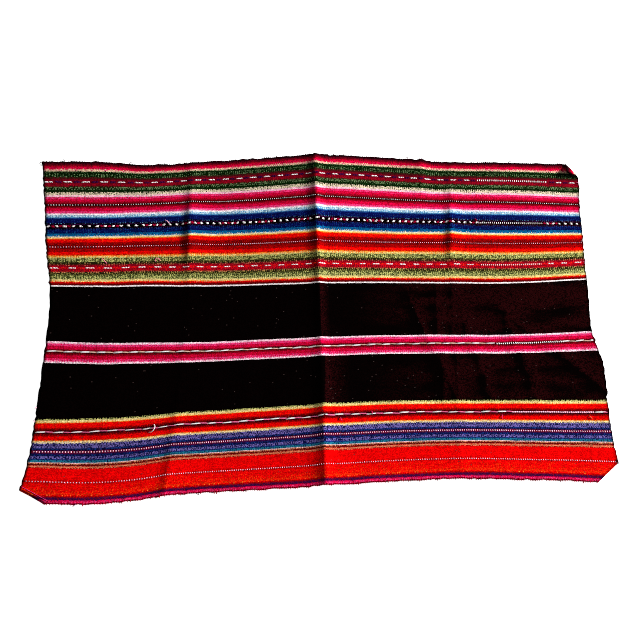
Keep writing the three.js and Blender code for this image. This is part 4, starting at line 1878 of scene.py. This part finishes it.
@dataclass(frozen=True)
class StripedWool:
    """Warp-faced hand-spun wool: dyed stripes, specks where two dyes show by turns, and uneven yarn."""

    chart: StripeChart
    gauge: WeftGauge
    yarn: float = 0.95
    fleck_wefts: float = 0.85
    fleck_width: float = 1.4
    jag: float = 0.45
    comb: float = 0.28
    blend: float = 0.05
    drift: float = 1.6
    drift_turns: tuple[float, float] = (0.05, 0.03)
    yarn_turns: tuple[float, float] = (0.05, 7.3)
    yarn_tones: tuple[float, float] = (0.84, 1.12)
    rib_turns: tuple[float, float] = (0.55, 0.05)
    rib_tones: tuple[float, float] = (0.9, 1.06)
    cloud_turns: tuple[float, float] = (0.03, 0.016)
    cloud_tones: tuple[float, float] = (0.92, 1.05)
    noise_span: tuple[float, float] = (0.3, 0.7)
    fleck_tones: tuple[float, float] = (0.6, 1.26)
    # Painted shade in the weave's gaps: its lightness range and the weave height that it fades out at.
    gap_shades: tuple[float, float] = (0.75, 1.03)
    gap_shade_height: float = 0.55
    longest_ramp: int = 24
    widest_shared: int = 120
    # Painted sheen on the black stripes: its reddish colour, where along the cloth it grows, how much is
    # left towards the near edge, its streaks, the share that the painted light of the fold flanks adds, and
    # the darkest dyes it is kept to.
    painted_sheen_colour: tuple[float, float, float, float] = (0.0150, 0.0012, 0.0016, 1.0)
    painted_sheen_from: float = 40.0
    painted_sheen_to: float = 350.0
    near_painted_sheen: float = 0.5
    near_painted_sheen_span: tuple[float, float] = (380.0, 440.0)
    sheen_streak_turns: tuple[float, float] = (0.014, 0.03)
    sheen_streak_span: tuple[float, float] = (0.32, 0.68)
    sheen_streak_most: float = 1.15
    flank_light_share: float = 0.75
    least_painted_sheen: float = 0.02
    bristle: float = 3.0
    blackest: float = 0.004
    lint: float = 0.9984
    lint_step: float = 0.0002
    end_clear: float = 0.3
    end_shade: float = 0.05
    turn_shade: float = 0.4
    end_wefts: float = 2.9
    bead: float = 0.3
    nap: float = 0.35
    roughness: tuple[float, float] = (0.84, 0.97)
    sheen: float = 0.03
    sheen_spread: float = 0.6
    gloss: float = 0.004
    relief: float = 0.00036
    relief_share: float = 0.7

    def ramp_groups(self) -> list[tuple[int, int]]:
        """Group the stripes into runs that share a ramp.

        Returns:
            Each run by its first stripe and the one after its last.
        """
        starts = [0]
        for index, stripe in enumerate(self.chart.stripes):
            wide = max(stripe.ends, self.chart.stripes[index - 1].ends) > self.widest_shared
            if index and (wide or index - starts[-1] == self.longest_ramp):
                starts.append(index)
        return list(zip(starts, starts[1:] + [len(self.chart.stripes)]))

    def ramps(self, board: NodeBoard, place: Socket, crossed: bool) -> tuple[Socket, Socket]:
        """Stripe colours across the cloth.

        Args:
            board: Material being made.
            place: Distance from the far edge.
            crossed: Whether to give the second dyes.

        Returns:
            The colour at that place, and the share of the cloth that shows the second dye.
        """
        edges = self.chart.bounds()
        colour, share = None, None
        for first, after in self.ramp_groups():
            group = self.chart.stripes[first:after]
            low, high = float(edges[first]), float(edges[after])
            node = board.nodes.new("ShaderNodeValToRGB")
            node.color_ramp.interpolation = "CONSTANT"
            along_ramp = board.math("DIVIDE", board.math("SUBTRACT", place, low), high - low, clamp=True)
            board.feed(node.inputs[0], along_ramp)
            stops = node.color_ramp.elements
            stops.remove(stops[-1])
            while len(stops) < len(group):
                stops.new(1.0)
            for stop, edge in zip(stops, edges[first:]):
                stop.position = (float(edge) - low) / (high - low)
            for stop, stripe in zip(stops, group):
                stop.color = self.dye_of(stripe, crossed)
            if colour is None:
                colour, share = node.outputs[0], node.outputs[1]
                continue
            past = board.math("GREATER_THAN", place, low)
            colour = board.mix("MIX", past, colour, node.outputs[0])
            step = board.math("SUBTRACT", node.outputs[1], share)
            share = board.math("MULTIPLY_ADD", past, step, share)
        return colour, share

    def dye_of(self, stripe: Stripe, crossed: bool) -> tuple[float, float, float, float]:
        """First or second dye of a stripe, with the share of the second one in place of opacity."""
        dye = stripe.cross if crossed and stripe.cross is not None else stripe.dye
        return (*dye.linear()[:3], stripe.share)

    def cell(self, board: NodeBoard, weave: Weave, layer: Grain) -> Socket:
        """Chance number from 0 to 1 for each small cell of yarn, every second row half a cell along.

        Args:
            board: Material being made.
            weave: Place on the cloth.
            layer: Layer of cells to read.

        Returns:
            The number.
        """
        row = board.math("FLOOR", board.math("DIVIDE", weave.across, self.fleck_width))
        shift = board.math("MULTIPLY", board.math("MODULO", row, 2.0), 0.5)
        step = board.math("ADD", board.math("DIVIDE", weave.wefts, self.fleck_wefts), shift)
        return board.speck(board.place(board.math("FLOOR", step), row, layer.value))

    def dyed(self, board: NodeBoard, weave: Weave) -> Socket:
        """Colour of the stripes, with slightly ragged edges and two dyes by turns.

        Args:
            board: Material being made.
            weave: Place on the cloth.

        Returns:
            The colour.
        """
        drift = board.math("SUBTRACT", board.stretched(weave, self.drift_turns), 0.5)
        place = board.math("MULTIPLY_ADD", drift, self.drift, weave.across)
        ragged = board.math("SUBTRACT", self.cell(board, weave, Grain.EDGES), 0.5)
        place = board.math("MULTIPLY_ADD", ragged, self.jag, place)
        first, share = self.ramps(board, place, False)
        second, _ = self.ramps(board, place, True)
        pair = board.math("FRACT", board.math("MULTIPLY", weave.wefts, 0.5))
        second_weft = board.math("GREATER_THAN", pair, 0.5)
        chance = board.math("MULTIPLY", self.cell(board, weave, Grain.DYES), 1.0 - self.comb)
        chance = board.math("MULTIPLY_ADD", second_weft, self.comb, chance)
        above = board.math("ADD", board.math("SUBTRACT", chance, 1.0), share)
        return board.mix("MIX", board.scaled(above, -self.blend, self.blend, 0.0, 1.0), first, second)

    def toned(self, board: NodeBoard, weave: Weave, tone: Socket, height: Socket) -> Socket:
        """Lightness of the yarn: from yarn to yarn, weft to weft, in clouds, and painted shade down in the
        weave's gaps.

        Args:
            board: Material being made.
            weave: Place on the cloth.
            tone: Chance number of each few yarns on each weft.
            height: Height of the weave.

        Returns:
            The lightness, near 1.
        """
        number = board.math("FLOOR", board.math("DIVIDE", weave.across, self.yarn))
        yarn = board.stretched(weave._replace(across=number), self.yarn_turns, 1.0)
        rib = board.stretched(weave, self.rib_turns)
        cloud = board.stretched(weave, self.cloud_turns)
        return board.product(
            board.scaled(yarn, *self.noise_span, *self.yarn_tones),
            board.scaled(rib, *self.noise_span, *self.rib_tones),
            board.scaled(cloud, *self.noise_span, *self.cloud_tones),
            board.scaled(tone, 0.0, 1.0, *self.fleck_tones),
            # Painted shade down in the weave's gaps.
            board.scaled(height, 0.0, self.gap_shade_height, *self.gap_shades),
        )

    def add_painted_sheen(self, board: NodeBoard, weave: Weave, tone: Socket, colour: Socket) -> Socket:
        """Colour with painted reddish sheen on the black stripes: in streaks that grow towards the right
        end and weaken towards the near edge, with painted highlights on the right flanks of folds and
        painted shade on their left flanks.

        Args:
            board: Material being made.
            weave: Place on the cloth.
            tone: Chance number of each few yarns on each weft.
            colour: Colour of the cloth before the painted sheen.

        Returns:
            The colour.
        """
        # Painted sheen in streaks, growing towards the right end and weaker towards the near edge.
        start, full = self.gauge.count(np.array([self.painted_sheen_from, self.painted_sheen_to]))
        sheen_noise = board.stretched(weave, self.sheen_streak_turns, 3.0)
        sheen_streak = board.product(
            board.scaled(sheen_noise, *self.sheen_streak_span, 0.0, self.sheen_streak_most),
            board.scaled(weave.wefts, float(start), float(full), 0.0, 1.0),
            board.scaled(weave.across, *self.near_painted_sheen_span, 1.0, self.near_painted_sheen),
        )
        # Painted highlights on the right flanks of folds and painted shade on their left flanks, added to
        # the painted sheen.
        sheen_and_flank_light = board.math("MULTIPLY_ADD", board.named(FLANK_LIGHT), self.flank_light_share, sheen_streak)
        depth = board.nodes.new("ShaderNodeRGBToBW")
        board.feed(depth.inputs[0], colour)
        share = board.product(
            board.math("MAXIMUM", sheen_and_flank_light, self.least_painted_sheen),
            board.math("MULTIPLY", board.math("POWER", tone, 2.0), self.bristle),
            board.scaled(depth.outputs[0], 0.0, self.blackest, 1.0, 0.0),
        )
        return board.mix("ADD", share, colour, self.painted_sheen_colour)

    def with_lint_and_painted_light(self, board: NodeBoard, weave: Weave, tone: Socket, colour: Socket) -> Socket:
        """Colour with painted sheen on the black stripes, lint, darker first and last wefts, and painted
        shade along the fold lines of the turned corners.

        Args:
            board: Material being made.
            weave: Place on the cloth.
            tone: Chance number of each few yarns on each weft.
            colour: Colour of the clean cloth.

        Returns:
            The colour.
        """
        colour = self.add_painted_sheen(board, weave, tone, colour)
        chance = self.cell(board, weave, Grain.LINT)
        lint = board.scaled(chance, self.lint, self.lint + self.lint_step, 0.0, 1.0)
        colour = board.mix("MIX", lint, colour, Dye.LINT.linear())
        half = self.chart.cloth.length / 2.0
        first, last = self.gauge.count(np.array([-half, half]))
        from_left = board.math("SUBTRACT", weave.wefts, float(first))
        from_end = board.math("MINIMUM", from_left, board.math("SUBTRACT", float(last), weave.wefts))
        # Painted shade along the fold lines of the corners turned under.
        from_turn = board.math("DIVIDE", board.named(TURNED), 0.5 * self.gauge.pitch)
        end_shade = board.scaled(from_end, self.end_clear, self.end_wefts, self.end_shade, 1.0)
        turn_shade = board.scaled(from_turn, self.end_clear, self.end_wefts, self.turn_shade, 1.0)
        return board.shaded(colour, board.math("MINIMUM", end_shade, turn_shade))

    def weave_height(self, board: NodeBoard, weave: Weave) -> Socket:
        """Height of the weave: rounded warp yarns, beaded over the wefts by turns.

        Args:
            board: Material being made.
            weave: Place on the cloth.

        Returns:
            The height, from 0 to 1.
        """
        across_yarns = board.math("DIVIDE", weave.across, self.yarn)
        half_step = board.math("MODULO", board.math("FLOOR", across_yarns), 2.0)
        step = board.math("ADD", weave.wefts, half_step)
        bead = board.math("SINE", board.math("MULTIPLY", step, math.pi))
        ridge = board.math("SINE", board.math("MULTIPLY", board.math("FRACT", across_yarns), math.pi))
        return board.math("MULTIPLY", board.math("MULTIPLY_ADD", bead, self.bead, 1.0 - self.bead), ridge)

    def build(self) -> bpy.types.Material:
        """Make the material.

        Returns:
            The new material.
        """
        board = NodeBoard("striped_wool")
        weave = Weave(*board.uv("weave"))
        tone = self.cell(board, weave, Grain.TONES)
        height = self.weave_height(board, weave)
        colour = board.shaded(self.dyed(board, weave), self.toned(board, weave, tone, height))
        colour = self.with_lint_and_painted_light(board, weave, tone, colour)
        pile = board.math("MULTIPLY_ADD", tone, self.nap, height)
        board.dress(
            {
                "Base Color": colour,
                "Sheen Tint": colour,
                "Roughness": board.scaled(tone, 0.0, 1.0, *self.roughness),
                "Specular IOR Level": self.gloss,
                "Sheen Weight": self.sheen,
                "Sheen Roughness": self.sheen_spread,
                "Normal": board.bump(pile, self.relief_share, self.relief),
            }
        )
        return board.material


@dataclass(frozen=True)
class FigureWool:
    """Two-ply wool of the raised figures, loose ends and weft turns, in each yarn's own dye."""

    twist: float = 1.9
    plies: float = 2.0
    # Painted shade in the grooves between the plies: the strand value that it fades out at, and its
    # lightness range.
    strand_full: float = 0.6
    groove_shades: tuple[float, float] = (0.86, 1.04)
    fuzz_turns: float = 1.6
    fuzz_around: float = 6.0
    fuzz_span: tuple[float, float] = (0.2, 0.8)
    fuzz_tones: tuple[float, float] = (0.86, 1.1)
    roughness: tuple[float, float] = (0.78, 0.95)
    sheen: float = 0.03
    sheen_spread: float = 0.6
    gloss: float = 0.004
    relief: float = 0.0002
    relief_share: float = 0.6

    def build(self) -> bpy.types.Material:
        """Make the material.

        Returns:
            The new material.
        """
        board = NodeBoard("figure_wool")
        run, around = board.uv("strand")
        dye = board.nodes.new("ShaderNodeAttribute")
        dye.attribute_name = "dye"
        turns = board.math("DIVIDE", run, self.twist)
        turns = board.math("ADD", turns, board.math("MULTIPLY", around, self.plies))
        strand = board.math("ABSOLUTE", board.math("SINE", board.math("MULTIPLY", turns, math.pi)))
        spot = board.place(run, board.math("MULTIPLY", around, self.fuzz_around))
        fuzz = board.noise(spot, self.fuzz_turns, 3.0)
        # Painted shade in the grooves between the plies.
        groove_shade = board.scaled(strand, 0.0, self.strand_full, *self.groove_shades)
        fuzz_tone = board.scaled(fuzz, *self.fuzz_span, *self.fuzz_tones)
        colour = board.shaded(dye.outputs["Color"], board.product(groove_shade, fuzz_tone))
        board.dress(
            {
                "Base Color": colour,
                "Sheen Tint": colour,
                "Roughness": board.scaled(fuzz, *self.fuzz_span, *self.roughness),
                "Specular IOR Level": self.gloss,
                "Sheen Weight": self.sheen,
                "Sheen Roughness": self.sheen_spread,
                "Normal": board.bump(strand, self.relief_share, self.relief),
            }
        )
        return board.material


@dataclass(frozen=True)
class PaleFloor:
    """Matte near-white floor paint."""

    shade: float = 0.9
    roughness: float = 0.9
    gloss: float = 0.1
    glow: float = 0.9

    def build(self) -> bpy.types.Material:
        """Make the material.

        Returns:
            The new material.
        """
        board = NodeBoard("pale_floor")
        board.dress(
            {
                "Base Color": (self.shade, self.shade, self.shade, 1.0),
                "Roughness": self.roughness,
                "Specular IOR Level": self.gloss,
                "Emission Color": (1.0, 1.0, 1.0, 1.0),
                "Emission Strength": self.glow,
            }
        )
        return board.material


class Lamp(NamedTuple):
    """One soft light: where it stands, its size and its power."""

    name: str
    place: tuple[float, float, float]
    size: float
    power: float


@dataclass(frozen=True)
class Studio:
    """Pale floor, soft light from the right and a camera at the photograph's angle, in metres."""

    floor_half: float = 8.0
    floor_drop: float = 0.0004
    target: tuple[float, float, float] = (0.005, 0.002, 0.0)
    camera_distance: float = 2.6
    camera_elevation: float = 68.0
    lens: float = 74.44
    sensor: float = 36.0
    filter_width: float = 1.0
    sky: float = 0.10
    lamps: tuple[Lamp, ...] = (
        Lamp("key_light", (4.66, 1.42, 1.87), 1.0, 726.0),
        Lamp("fill_light", (-0.6, -1.0, 3.4), 2.6, 12.0),
    )

    def build_floor(self, finish: bpy.types.Material) -> None:
        """Lay the floor just below the cloth.

        Args:
            finish: Material of the floor.
        """
        half, low = self.floor_half, -self.floor_drop
        mesh = bpy.data.meshes.new("floor")
        corners = [(-half, -half, low), (half, -half, low), (half, half, low), (-half, half, low)]
        mesh.from_pydata(corners, [], [(0, 1, 2, 3)])
        mesh.materials.append(finish)
        floor = bpy.data.objects.new("floor", mesh)
        bpy.context.scene.collection.objects.link(floor)
        floor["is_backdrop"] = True

    def aim(self, thing: bpy.types.Object, place: Sequence[float], at: Sequence[float]) -> None:
        """Put a light or camera somewhere and point it at a place.

        Args:
            thing: The light or camera.
            place: Where to put it.
            at: What to point it at.
        """
        thing.location = place
        thing.rotation_euler = (Vector(at) - Vector(place)).to_track_quat("-Z", "Y").to_euler()
        bpy.context.scene.collection.objects.link(thing)

    def build_lights(self) -> None:
        """Set up the lamps and the even light of the room."""
        for lamp in self.lamps:
            light = bpy.data.lights.new(lamp.name, "AREA")
            light.shape = "DISK"
            light.size = lamp.size
            light.energy = lamp.power
            self.aim(bpy.data.objects.new(lamp.name, light), lamp.place, (0.0, 0.0, 0.0))
        world = bpy.data.worlds.new("room")
        world.use_nodes = True
        world.node_tree.nodes["Background"].inputs["Color"].default_value = (1.0, 1.0, 1.0, 1.0)
        world.node_tree.nodes["Background"].inputs["Strength"].default_value = self.sky
        bpy.context.scene.world = world

    def build_camera(self) -> None:
        """Set up the camera, with plain colours and a narrow filter that keep the weave crisp."""
        camera = bpy.data.cameras.new("camera")
        camera.lens = self.lens
        camera.sensor_width = self.sensor
        tilt = math.radians(self.camera_elevation)
        offset = Vector((0.0, -math.cos(tilt), math.sin(tilt))) * self.camera_distance
        viewer = bpy.data.objects.new("camera", camera)
        self.aim(viewer, Vector(self.target) + offset, self.target)
        bpy.context.scene.camera = viewer
        bpy.context.scene.view_settings.view_transform = "Standard"
        bpy.context.scene.cycles.use_denoising = False
        bpy.context.scene.cycles.filter_width = self.filter_width


def main() -> None:
    """Build the cloth and its studio, in order, and report each piece."""
    logging.basicConfig(level=logging.INFO, format="%(name)s: %(message)s")
    cloth = LaidCloth()
    gauge = WeftGauge(cloth)
    chart = StripeChart(cloth)
    figure_wool = FigureWool().build()

    panel = WovenPanel(cloth, chart, gauge).build(StripedWool(chart, gauge).build())
    figures = FigureYarns(cloth, chart, gauge, figure_wool)
    cords = FigureYarns(cloth, chart, WeftGauge(cloth, slack=CORD_SLACK), figure_wool)
    details = [(cords if row.sway else figures).build_figures(row) for row in FIGURE_ROWS]
    details += [figures.build_dots(row) for row in DOT_ROWS]
    details.append(SelvedgeTurns(cloth, gauge, figure_wool).build())
    details.append(LooseEnds(cloth, figure_wool).build())
    for piece in [panel, *details]:
        LOG.info("%s has %d faces", piece.name, len(piece.data.polygons))

    studio = Studio()
    studio.build_floor(PaleFloor().build())
    studio.build_lights()
    studio.build_camera()

    boxes = {"cad": CAD_BOX, "visual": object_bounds()}
    lists = {name: [[float(x) for x in corner] for corner in box] for name, box in boxes.items()}


if __name__ == "__main__":
    main()
